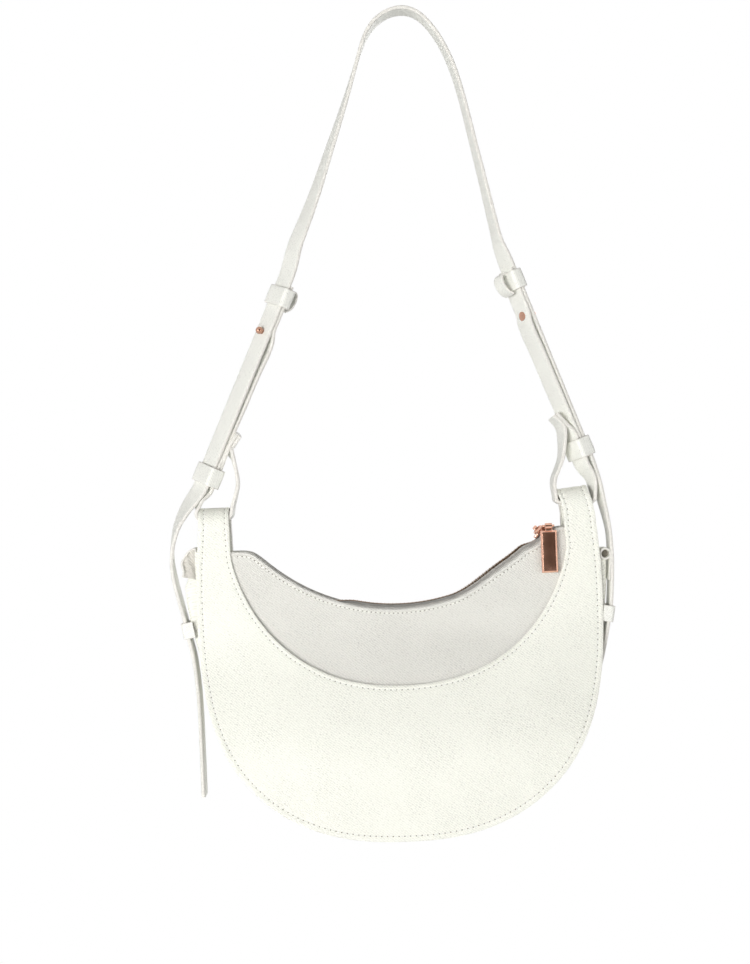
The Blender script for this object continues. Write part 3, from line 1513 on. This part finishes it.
    def ring(self, piece: Piece, line: Sequence[Vector], inwards: Callable[[Vector], Vector], up: Vector,
             height: float, thick: float, closed: bool = True) -> None:
        """Adds a band of leather round a line.

        Args:
            piece: the piece to add it to.
            line: middle of the band's thickness.
            inwards: gives the direction to the inside at a point.
            up: unit vector along the band's height.
            height: height of the band.
            thick: thickness of the band.
            closed: whether it closes on itself.
        """
        rings = []
        for p, along in zip(line, directions(line, closed)):
            out = along.cross(up)
            if out.dot(inwards(p)) > 0:
                out.negate()
            rings.append(flat_section(p, up, out, height, thick, 0.1))
        piece.sweep(rings, 0, closed, 1, EDGE_ROWS)

    def keeper(self, spec: StrapSide, up: float, layers: int, level: str) -> None:
        """Builds the upper or lower keeper round a number of layers."""
        node = f"keeper_{level}_{spec.side.word}"
        depth = layers * self.thick + 0.6 + self.keeper_t
        width = self.width + 0.6 + self.keeper_t
        mid = self.thick - layers * self.thick / 2
        corners = [Vector((mid + sx * depth / 2, sy * width / 2, up)) for sx, sy in
                   ((1, -1), (1, 1), (-1, 1), (-1, -1))]
        flat = resample(rounded_path(corners, 1.6, True), 0.8, True)
        line = [spec.point(*p) for p in flat]
        centre = spec.point(mid, 0, up)
        axis = spec.shown(spec.axes()[2])
        piece = Piece(node + "_leather", (Finish.STRAP, Finish.EDGE))
        self.ring(piece, line, lambda p: centre - p, axis, self.keeper_h, self.keeper_t)
        if level == "upper":
            self.curl(piece, spec, up, mid - depth / 2)
        piece.done(f"{level}_{spec.side.word}_keeper", [node], sharp=60)

    def curl(self, piece: Piece, spec: StrapSide, up: float, wall: float) -> None:
        """Adds the free end of an upper keeper, which curls off its inner side."""
        across = spec.shown(spec.axes()[1])
        path = [spec.point(wall + out, 0, up + high) for out, high in self.curl_path]
        line = resample(catmull_rom([2 * path[0] - path[1]] + path + [2 * path[-1] - path[-2]], 6), 0.8)
        rings = [flat_section(p, across, across.cross(along).normalized(), self.curl_w, self.curl_t, 0.1)
                 for p, along in zip(line, directions(line))]
        piece.sweep(rings, 0, False, 1, EDGE_ROWS)

    def band(self, spec: StrapSide) -> None:
        """Builds the band on the gusset that holds the loose end."""
        tilt = math.radians(self.band_tilt)
        x_axis = Vector((math.cos(tilt), 0, -math.sin(tilt)))
        z_axis = Vector((math.sin(tilt), 0, math.cos(tilt)))
        base = Vector((spec.band_x, 0, -self.band_drop))
        reach, half = 1.0 + self.thick + 0.6 + 0.6, self.width / 2 + 0.3 + 0.6
        corners = [Vector((x, y)) for x, y in ((-2.2, -half), (reach, -half), (reach, half), (-2.2, half))]
        flat = resample(rounded_path(corners, 1.4, False), 0.8)
        line = [spec.shown(base + x_axis * p[0] + Vector((0, p[1], 0))) for p in flat]
        piece = Piece(f"tail_band_{spec.side.word}_leather", (Finish.STRAP, Finish.EDGE))
        centre = spec.shown(base)
        self.ring(piece, line, lambda p: centre - p, spec.shown(z_axis), self.band_h, 1.2, False)
        piece.done("bag", [f"tail_loop_{spec.side.word}"], sharp=60)

    def studs(self) -> None:
        """Builds both studs with their heads, necks and bases."""
        piece = Piece("strap_studs_metal", (Finish.STUD,))
        t = self.thick
        section = [(r, -t - z) for r, z in self.stud_base] + [(self.stud_neck, -t), (self.stud_neck, t + 0.5)]
        section += [(self.stud_r * math.sin(a), t + 2.5 - self.stud_r * math.cos(a)) for a in
                    [math.radians(34 + 146 * k / 12) for k in range(13)]]
        for spec in (LEFT_SIDE, RIGHT_SIDE):
            origin = spec.point(0, 0, spec.stud)
            axis = spec.shown(spec.axes()[0])
            side = axis.orthogonal().normalized()
            verts = [piece.bm.verts.new(origin + side * r + axis * z) for r, z in section]
            edges = [piece.bm.edges.new(pair) for pair in zip(verts, verts[1:])]
            bmesh.ops.spin(piece.bm, geom=verts + edges, cent=origin, axis=axis, angle=2 * math.pi, steps=28,
                           use_merge=True)
        bmesh.ops.remove_doubles(piece.bm, verts=piece.bm.verts, dist=1e-4)
        bmesh.ops.recalc_face_normals(piece.bm, faces=piece.bm.faces)
        piece.bm.loops.layers.uv.new(PATTERN)
        piece.done("strap", ["strap_studs"], sharp=35)


# Zip


@dataclass
class Zip:
    """Tapes, teeth, stops, slider, link and pull tab on the zip's curve."""

    half_angle: float = math.degrees(math.acos(78 / FORM.zip_r) + 2.4 / FORM.zip_r)
    slider_half: float = 5.0
    tooth_r: float = 118.4
    tooth_h: float = 2.6
    tooth_w: float = 1.15
    pitch: float = 2.4
    bead_r: float = 119.7
    stop_r: float = 118.95
    plate_r: float = 122.8
    link_r: float = 115.2
    tab_place: tuple[float, float, float] = (5.6, -12.4, 2.3)
    edge_rise: float = 5.4
    left_fall: float = 4.4
    end_fall: float = 7.5
    bare_teeth: float = 0.35
    bare_bead: float = -0.5
    bare_tape: float = -0.9
    tape_section: tuple[tuple[float, float], ...] = (
        (119.6, 1.6), (119.1, 2.2), (119.2, 2.9), (119.7, 3.7), (119.9, 5.0), (120.3, 6.0),
        (121.4, 6.45), (124.0, 6.5), (128.0, 6.5))

    @property
    def slider_angle(self) -> float:
        """Angle of the closed slider."""
        return self.half_angle - math.degrees(self.slider_half / FORM.zip_r)

    def bent(self, p: Vector) -> Vector:
        """Lets the zip follow the panel's uneven edge."""
        rise = self.edge_rise * rise_share(p[0])
        fall = self.left_fall * smooth((-p[0] - 26) / 22) + self.end_fall * smooth((-p[0] - 72) / 22)
        return p + Vector((0, 0, rise - fall))

    @staticmethod
    def bared(x: float) -> float:
        """Share of the move that bares the teeth above the panel's edge at the right."""
        return smooth((x - 30) / 24) * smooth((86 - x) / 12)

    def frame_at(self, angle: float, r: float) -> Matrix:
        """Matrix of a place on the curve: X along the zip and Z towards its centre."""
        a = math.radians(angle)
        matrix = Matrix(((math.cos(a), 0, -math.sin(a)), (0, 1, 0), (math.sin(a), 0, math.cos(a)))).to_4x4()
        matrix.translation = self.bent(Vector((r * math.sin(a), 0, FORM.zip_z - r * math.cos(a))))
        return matrix

    def build(self) -> None:
        """Builds every piece of the zip."""
        for face in Face:
            self.tape(face)
            self.teeth(face)
        self.stops()
        self.slider()
        self.link()
        self.tab()

    def tape(self, face: Face) -> None:
        """Builds one tape: from the teeth outwards, and down behind the panel."""
        node = f"zip_tape_{face.word}"
        end = self.half_angle + 0.9
        rows = len(self.tape_section) - 1

        def at(u: float, v: float) -> Vector:
            r, y = self.tape_section[round(v * rows)]
            a = math.radians(mix(-end, end, u))
            p = self.bent(Vector((r * math.sin(a), face.value * y, FORM.zip_z - r * math.cos(a))))
            p.z += self.bare_tape * self.bared(p.x)
            return p

        piece = Piece(node + "_cloth", (Finish.TAPE,))
        piece.grid(120, rows, at, lambda u, v: (u * 250, v * 14))
        piece.turn_outwards(lambda p: Vector((0, face.value, 0)))
        piece.done("bag", [node], 0.55)

    def teeth(self, face: Face) -> None:
        """Builds one row of teeth on its bead."""
        node = f"zip_teeth_{face.word}"
        shift = 0.25 * face.value
        step = math.degrees(self.pitch / self.tooth_r)
        count = math.floor(2 * self.half_angle / step) - 1
        open_from = self.slider_angle + math.degrees(1.0 / self.tooth_r)
        piece = Piece(node + "_metal", (Finish.BRONZE, Finish.TAPE))
        piece.bm.loops.layers.uv.new(PATTERN)
        bead = []
        for k in range(121):
            at = self.frame_at(mix(-self.half_angle, self.half_angle, k / 120), self.bead_r)
            at.translation.z += self.bare_bead * self.bared(at.translation.x)
            bead.append([at @ Vector((0, face.value * 2.3 + 0.6 * math.cos(a), 0.7 * math.sin(a)))
                         for a in round_angles(8)])
        piece.sweep(bead, 1)
        for k in range(count + 1):
            angle = (k - count / 2 + shift) * step
            reach = 0.9 if angle < open_from else -1.35
            matrix = self.frame_at(angle, self.tooth_r + self.tooth_h)
            matrix.translation.z += self.bare_teeth * self.bared(matrix.translation.x)
            self.tooth(piece, matrix, face.value, reach)
        piece.done("bag", [node], sharp=30)

    def tooth(self, piece: Piece, matrix: Matrix, way: int, reach: float) -> None:
        """Adds one tooth with a rounded head and a clasped foot."""
        foot, head = 2.3, -reach
        place = Matrix.Translation((0, way * (foot + head) / 2, self.tooth_h / 2))
        size = Matrix.Diagonal((self.tooth_w, foot - head, self.tooth_h, 1))
        piece.block(matrix @ place @ size, 0.28, 1)

    def stops(self) -> None:
        """Builds the metal stops at both ends."""
        piece = Piece("zip_stops_metal", (Finish.BRONZE,))
        piece.bm.loops.layers.uv.new(PATTERN)
        for sign in (-1, 1):
            matrix = self.frame_at(sign * (self.half_angle + 0.45), self.stop_r)
            piece.block(matrix @ Matrix.Diagonal((1.8, 5.2, 1.3, 1)), 0.35, 3)
        piece.done("bag", ["zip_stops"], sharp=40)

    def plate(self, piece: Piece, matrix: Matrix, outline: Sequence[tuple[float, float]], low: float,
              high: float, round_by: float) -> None:
        """Adds a plate with rounded edges over an outline.

        Args:
            piece: the piece to add it to.
            matrix: place of the outline.
            outline: corners along and across.
            low: lower height.
            high: upper height.
            round_by: width of the rounding.
        """
        lower, upper = piece.extrude(outline, low, high)
        verts = lower + upper
        upright = [e for e in {e for v in verts for e in v.link_edges}
                   if abs(e.verts[0].co.z - e.verts[1].co.z) > 0.5 * (high - low)]
        made = piece.bevel(upright, 0.9, 3)
        verts = list({v for v in verts if v.is_valid} | set(made))
        sharp = [e for e in {e for v in verts for f in v.link_faces for e in f.edges}
                 if len(e.link_faces) == 2 and e.calc_face_angle(0) > 1.2]
        made = piece.bevel(sharp, round_by, 2)
        verts = list({v for v in verts if v.is_valid} | set(made))
        bmesh.ops.transform(piece.bm, verts=verts, matrix=matrix)

    def slider(self) -> None:
        """Builds the slider: two plates, side walls, post and bridge."""
        piece = Piece("zip_slider_metal", (Finish.ROSE_GOLD,))
        piece.bm.loops.layers.uv.new(PATTERN)
        matrix = self.frame_at(self.slider_angle, self.plate_r)
        outline = [(-5.0, -3.8), (2.5, -4.6), (5.0, -4.6), (5.0, 4.6), (2.5, 4.6), (-5.0, 3.8)]
        self.plate(piece, matrix, outline, 0.0, 1.5, 0.35)
        self.plate(piece, matrix, outline, 4.7, 6.2, 0.45)
        for sign in (-1, 1):
            wall = [(-4.6, sign * 3.3), (-4.6, sign * 3.75), (4.7, sign * 4.5), (4.7, sign * 3.3)]
            if sign > 0:
                wall.reverse()
            self.plate(piece, matrix, wall, 1.0, 2.4, 0.1)
        piece.sweep([[matrix @ Vector((3.2 + 1.15 * math.cos(a), 1.15 * math.sin(a), z))
                      for a in round_angles(12)] for z in (1.3, 4.9)])
        bridge = [Vector((0, y, z)) for y, z in ((-2.2, 5.4), (-2.2, 9.6), (2.2, 9.6), (2.2, 5.4))]
        line = [matrix @ p for p in resample(rounded_path(bridge, 1.5, False), 0.6)]
        along = (matrix.to_3x3() @ Vector((1, 0, 0))).normalized()
        piece.sweep([flat_section(p, along, t.cross(along).normalized(), 2.9, 1.15, 0.08)
                     for p, t in zip(line, directions(line))])
        piece.done("slider", ["zip_slider"], sharp=30)

    def eye(self) -> Vector:
        """Middle of the slider's bridge opening."""
        a = math.radians(self.slider_angle)
        return Vector((self.link_r * math.sin(a), 0, FORM.zip_z - self.link_r * math.cos(a)))

    def link(self) -> None:
        """Builds the wire loop between the bridge and the pull tab."""
        a = math.radians(self.slider_angle)
        eye = self.eye()
        along = 2.6 * Vector((math.cos(a), 0, math.sin(a)))
        tab = eye + Vector(self.tab_place)
        across, side, end = Vector((3.2, 0, 0)), Vector((0, -5.6, 0)), Vector((0, 2.8, 0))
        corners = [eye - along, eye + along, eye + along + side, tab + across + end, tab + across,
                   tab - across, tab - across + end, eye - along + side]
        line = resample(rounded_path(corners, 1.0, True), 0.6, True)
        piece = Piece("puller_link_metal", (Finish.ROSE_GOLD,))
        rings = []
        up = Vector((0.2, 0, 1)).normalized()
        for p, t in zip(line, directions(line, True)):
            b = t.cross(up).normalized()
            c = b.cross(t).normalized()
            rings.append([p + (b * math.cos(a) + c * math.sin(a)) * 0.7 for a in round_angles(12)])
        piece.sweep(rings, 0, True)
        piece.done("link", ["puller_link"], sharp=60)

    def tab(self) -> None:
        """Builds the bevelled pull tab with its eye."""
        piece = Piece("pull_tab_metal", (Finish.ROSE_GOLD,))
        piece.bm.loops.layers.uv.new(PATTERN)
        centre = self.eye() + Vector(self.tab_place)
        top, length, half, thick = -2.75, 25.5, 4.9, 2.2
        matrix = Matrix.Translation(centre) @ Matrix.Rotation(math.radians(90), 4, "X")
        outline = [(-half, top - length), (half, top - length), (half, top), (-half, top)]
        self.tab_bar(piece, matrix, outline, thick)
        section = [(0.86, -2.1), (1.65, -2.1), (1.75, -2.0), (1.75, 2.0), (1.65, 2.1), (0.86, 2.1)]
        verts = [piece.bm.verts.new(centre + Vector((x, 0, r))) for r, x in section]
        edges = [piece.bm.edges.new((verts[i], verts[(i + 1) % len(verts)])) for i in range(len(verts))]
        bmesh.ops.spin(piece.bm, geom=verts + edges, cent=centre, axis=(1, 0, 0), angle=2 * math.pi, steps=28,
                       use_merge=True)
        neck = Matrix.Translation(centre + Vector((0, 0, -2.35)))
        piece.block(neck @ Matrix.Diagonal((4.2, 1.9, 1.7, 1)), 0.2, 2)
        bmesh.ops.remove_doubles(piece.bm, verts=piece.bm.verts, dist=1e-4)
        bmesh.ops.recalc_face_normals(piece.bm, faces=piece.bm.faces)
        piece.done("tab", ["pull_tab"], sharp=25)

    def tab_bar(self, piece: Piece, matrix: Matrix, outline: Sequence[tuple[float, float]],
                thick: float) -> None:
        """Adds the tab's bar: a flat front face inside wide bevels, with fine rounded edges."""
        _, top = piece.extrude(outline, -thick / 2, thick / 2)
        piece.bevel([e for e in {e for v in top for e in v.link_edges} if all(v in top for v in e.verts)],
                    1.0, 1)
        piece.bevel([e for e in piece.bm.edges if len(e.link_faces) == 2 and e.calc_face_angle(0) > 0.4],
                    0.09, 2)
        bmesh.ops.transform(piece.bm, verts=piece.bm.verts, matrix=matrix)


# Inside of the bag


@dataclass
class Inside:
    """Interlinings, lining, slip pocket and stiffener, which the closed bag hides."""

    def build(self) -> None:
        """Builds every hidden piece."""
        for face in Face:
            panel = Panel(face, 106.0, 70)
            node = f"{face.word}_interlining"
            piece = Piece(node + "_felt", (Finish.FELT,))
            self.cloth(piece, face, panel, FORM.overlay_t + FORM.gusset_t + 0.1, 11.0, 1.0)
            piece.done("bag", [node], 0.8)
        self.lining()
        self.pocket()
        self.stiffener()

    def cloth(self, piece: Piece, face: Face, panel: Panel, depth: float, drop: float, up: float) -> None:
        """Adds a sheet behind a panel.

        Args:
            piece: the piece to add it to.
            face: front or back.
            panel: the panel that it follows.
            depth: depth of its outer face.
            drop: distance of its top from the zip edge.
            up: distance of its lower edge from the panel's.
        """
        def flat(u: float, v: float) -> Vector:
            x = mix(-panel.half_x, panel.half_x, u)
            high = panel.edge_point(x, drop)
            low = min(high[1] - 1.0, panel.bottom(x) + up)
            return Vector((mix(high[0], x, v), mix(high[1], low, v)))

        def at(u: float, v: float) -> Vector:
            p = flat(u, v)
            return FORM.on_face(p[0], p[1], depth + panel.hollow(p[0], p[1]), face)

        piece.grid(panel.cols, 40, at, lambda u, v: tuple(flat(u, v)))
        piece.turn_outwards(lambda p: Vector((0, face.value, 0)))

    def lining(self) -> None:
        """Builds the lining bag as one closed strip of front, base and back."""
        piece = Piece("lining_cloth_bag", (Finish.LINING,))
        count, rows = 120, 13
        depth = FORM.overlay_t + FORM.gusset_t + 1.3

        panel = Panel(Face.FRONT)

        def wall(inner: Vector, outer: Vector, share: float, way: int) -> Vector:
            p = inner.lerp(outer, share)
            return Vector((p[0], way * (FORM.half_depth(p[1]) - depth - panel.hollow(p[0], p[1])), p[1]))

        def ring(a: float) -> list[Vector]:
            outer = FORM.rim_point(a, -10.5)
            x = outer[0] * 0.72
            inner = Vector((x, panel.top(x) - 9))
            shares = [k / rows for k in range(rows)]
            y = FORM.half_depth(outer[1]) - depth - 0.4
            base = [Vector((outer[0], mix(-y, y, k / 2), outer[1])) for k in range(3)]
            return ([wall(inner, outer, share, -1) for share in shares] + base
                    + [wall(inner, outer, share, 1) for share in reversed(shares)])

        rings = [ring(mix(-40, 220, k / count)) for k in range(count + 1)]
        n = len(rings[0]) - 1
        piece.grid(count, n, lambda u, v: rings[round(u * count)][round(v * n)],
                   lambda u, v: (u * 420, v * 240))
        piece.turn_outwards(lambda p: Vector((p[0], p[1] * 3, p[2] + 90)))
        piece.done("bag", ["lining"], 0.5)

    def pocket(self) -> None:
        """Builds the slip pocket inside the back of the lining, with a hem."""
        piece = Piece("inner_pocket_cloth", (Finish.LINING,))

        def flat(u: float, v: float) -> Vector:
            return Vector((mix(-59, 59, u) * (1 - 0.05 * v * v), mix(-90, -149, v)))

        def at(u: float, v: float) -> Vector:
            p = flat(u, v)
            gap = 1.6 * (1 - v) ** 2 * math.sin(math.pi * u)
            hem = 0.35 if v < 0.12 else 0.0
            depth = 5.3 + Panel(Face.BACK).hollow(p[0], p[1]) + gap + hem
            return FORM.on_face(p[0], p[1], depth, Face.BACK)

        piece.grid(50, 30, at, lambda u, v: tuple(flat(u, v)))
        piece.turn_outwards(lambda p: Vector((0, 1, 0)))
        piece.done("bag", ["inner_pocket"], 0.5)

    def stiffener(self) -> None:
        """Builds the board along the base."""
        piece = Piece("base_stiffener_board", (Finish.BOARD,))

        def at(u: float, v: float) -> Vector:
            a = mix(55, 125, u)
            p = FORM.rim_point(a, -8.1 - 0.2)
            half = FORM.half_depth(p[1]) - 6.4
            return Vector((p[0], mix(-half, half, v), p[1]))

        piece.grid(60, 12, at, lambda u, v: (u * 150, v * 56))
        piece.turn_outwards(lambda p: Vector((0, 0, -1)))
        piece.done("bag", ["base_stiffener"], 1.0, 0.3)


# Studio


@dataclass
class Studio:
    """Camera, lights, floor and white surroundings."""

    sensor: float = 36.0
    lens: float = 1469.5 * 36 / 964
    eye: tuple[float, float, float] = (-12, -900, 14.3)
    level_and_roll: tuple[float, float] = (0.99916, 0.0411)
    floor_z: float = -0.75

    def build(self) -> None:
        """Builds the whole studio."""
        self.camera()
        self.world()
        self.floor()
        self.lights()
        self.flag()
        bpy.context.scene.view_settings.view_transform = "Standard"

    def camera(self) -> None:
        """Places the camera where the photograph was taken."""
        data = bpy.data.cameras.new("camera")
        data.sensor_width = self.sensor
        data.lens = self.lens
        camera = placed("camera", data)
        level, roll = self.level_and_roll
        turn = Matrix(((level, roll, 0), (0, 0, -1), (-roll, level, 0))).to_4x4()
        turn.translation = (Vector(self.eye) - HANG_POINT) * METRES
        camera.matrix_world = turn
        bpy.context.scene.camera = camera

    def world(self) -> None:
        """Makes the surroundings white for the camera, and soft light for the bag."""
        world = bpy.data.worlds.new("studio")
        bpy.context.scene.world = world
        world.use_nodes = True
        nodes, links = world.node_tree.nodes, world.node_tree.links
        soft, seen = nodes["Background"], nodes.new("ShaderNodeBackground")
        soft.inputs["Color"].default_value = (0.99, 0.995, 1.0, 1)
        place, parts, band = (nodes.new(kind) for kind in
                              ("ShaderNodeTexCoord", "ShaderNodeSeparateXYZ", "ShaderNodeMapRange"))
        for name, value in (("From Min", 0.1), ("From Max", 0.6), ("To Min", 0.6), ("To Max", 0.06)):
            band.inputs[name].default_value = value
        links.new(place.outputs["Generated"], parts.inputs[0])
        links.new(parts.outputs["Z"], band.inputs["Value"])
        links.new(band.outputs["Result"], soft.inputs["Strength"])
        seen.inputs["Strength"].default_value = 1.0
        seen.inputs["Color"].default_value = (1, 1, 1, 1)
        path, blend = nodes.new("ShaderNodeLightPath"), nodes.new("ShaderNodeMixShader")
        either, chosen = nodes.new("ShaderNodeMath"), nodes.new("ShaderNodeMath")
        either.operation = chosen.operation = "MAXIMUM"
        links.new(path.outputs["Is Camera Ray"], either.inputs[0])
        links.new(path.outputs["Is Transmission Ray"], either.inputs[1])
        links.new(either.outputs[0], chosen.inputs[0])
        links.new(path.outputs["Is Glossy Ray"], chosen.inputs[1])
        links.new(chosen.outputs[0], blend.inputs["Fac"])
        links.new(soft.outputs[0], blend.inputs[1])
        links.new(seen.outputs[0], blend.inputs[2])
        links.new(blend.outputs[0], nodes["World Output"].inputs["Surface"])

    @staticmethod
    def square(name: str, size: float, matrix: Matrix, material: bpy.types.Material) -> bpy.types.Object:
        """Adds a flat square to the stage.

        Args:
            name: name of the square.
            size: half of its side, in metres.
            matrix: its place and turn.
            material: its material.

        Returns:
            The square.
        """
        bm = bmesh.new()
        bmesh.ops.create_grid(bm, x_segments=8, y_segments=8, size=size, matrix=matrix)
        mesh = bpy.data.meshes.new(name)
        bm.to_mesh(mesh)
        bm.free()
        mesh.materials.append(material)
        return placed(name, mesh)

    def floor(self) -> None:
        """Builds the pale floor, which keeps the bag's shadow and turns white away from it."""
        s = Shader("floor_white")
        grain = s.noise(s.place(), 6.0, 2.0)
        s.colour(s.ramp(grain, [(0.2, (0.86, 0.86, 0.86)), (0.8, (0.89, 0.89, 0.89))]))
        s.set(Roughness=0.9, Specular_IOR_Level=0.1)
        path = s.add("ShaderNodeLightPath")
        glow = s.add("ShaderNodeEmission", Strength=1.0)
        seen = s.math("MAXIMUM", path.outputs["Is Camera Ray"], path.outputs["Is Glossy Ray"])
        seen = s.math("MAXIMUM", seen, path.outputs["Is Transmission Ray"])
        joined = s.add("ShaderNodeMixShader")
        distance = s.add("ShaderNodeVectorMath", operation="LENGTH")
        s.link(s.place(), distance.inputs[0])
        away = s.math("MULTIPLY", distance.outputs["Value"], 2.1)
        lift = s.math("MULTIPLY", seen, s.math("MINIMUM", away, 1.0))
        s.link(lift, joined.inputs["Fac"])
        s.link(s.bsdf.outputs[0], joined.inputs[1])
        s.link(glow.outputs[0], joined.inputs[2])
        s.link(joined.outputs[0], s.nodes["Material Output"].inputs["Surface"])
        floor = self.square("floor", 4.0, Matrix.Translation((0, 0, self.floor_z)), s.material)

    def area(self, name: str, place: tuple[float, float, float], aim: tuple[float, float, float], size: float,
             power: float, colour: tuple[float, float, float] = (1, 1, 1)) -> None:
        """Adds a soft lamp.

        Args:
            name: name of the lamp.
            place: where it stands, in metres.
            aim: the point it looks at.
            size: its width.
            power: its power in watts.
            colour: its colour.
        """
        data = bpy.data.lights.new(name, "AREA")
        data.size = size
        data.energy = power
        data.color = colour
        lamp = placed(name, data)
        lamp.location = place
        lamp.rotation_euler = (Vector(aim) - Vector(place)).to_track_quat("-Z", "Y").to_euler()

    def lights(self) -> None:
        """Places the lamps: a key from the left front, a weak fill from the right and one behind."""
        middle = (0, 0, -0.36)
        self.area("key", (-0.85, -1.6, -0.5), middle, 1.1, 33, (1.0, 0.995, 0.98))
        self.area("fill", (1.1, -1.5, -0.7), middle, 1.2, 11)
        self.area("back_fill", (0.9, 1.4, -0.1), middle, 1.4, 8)

    def flag(self) -> None:
        """Hangs a dark cloth behind the camera, which only polished metal mirrors."""
        s = Shader("flag_cloth")
        weave = s.noise(s.place(), 40.0, 2.0)
        s.colour(s.ramp(weave, [(0.3, (0.20, 0.155, 0.125)), (0.7, (0.24, 0.19, 0.155))]))
        s.set(Roughness=1.0)
        matrix = Matrix.Translation((0.05, -1.2, -0.32)) @ Matrix.Rotation(math.radians(90), 4, "X")
        flag = self.square("dark_flag", 0.8, matrix, s.material)
        flag.visible_camera = False
        flag.visible_diffuse = False
        flag.visible_shadow = False


def main() -> None:
    """Builds the studio and every piece in order."""
    logging.basicConfig(level=logging.INFO, format="%(name)s: %(message)s")
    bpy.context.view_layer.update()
    Studio().build()
    for face in Face:
        Overlay(face).build()
        Panel(face).build()
    Gusset().build()
    Straps().build()
    Zip().build()
    Inside().build()


if __name__ == "__main__":
    main()
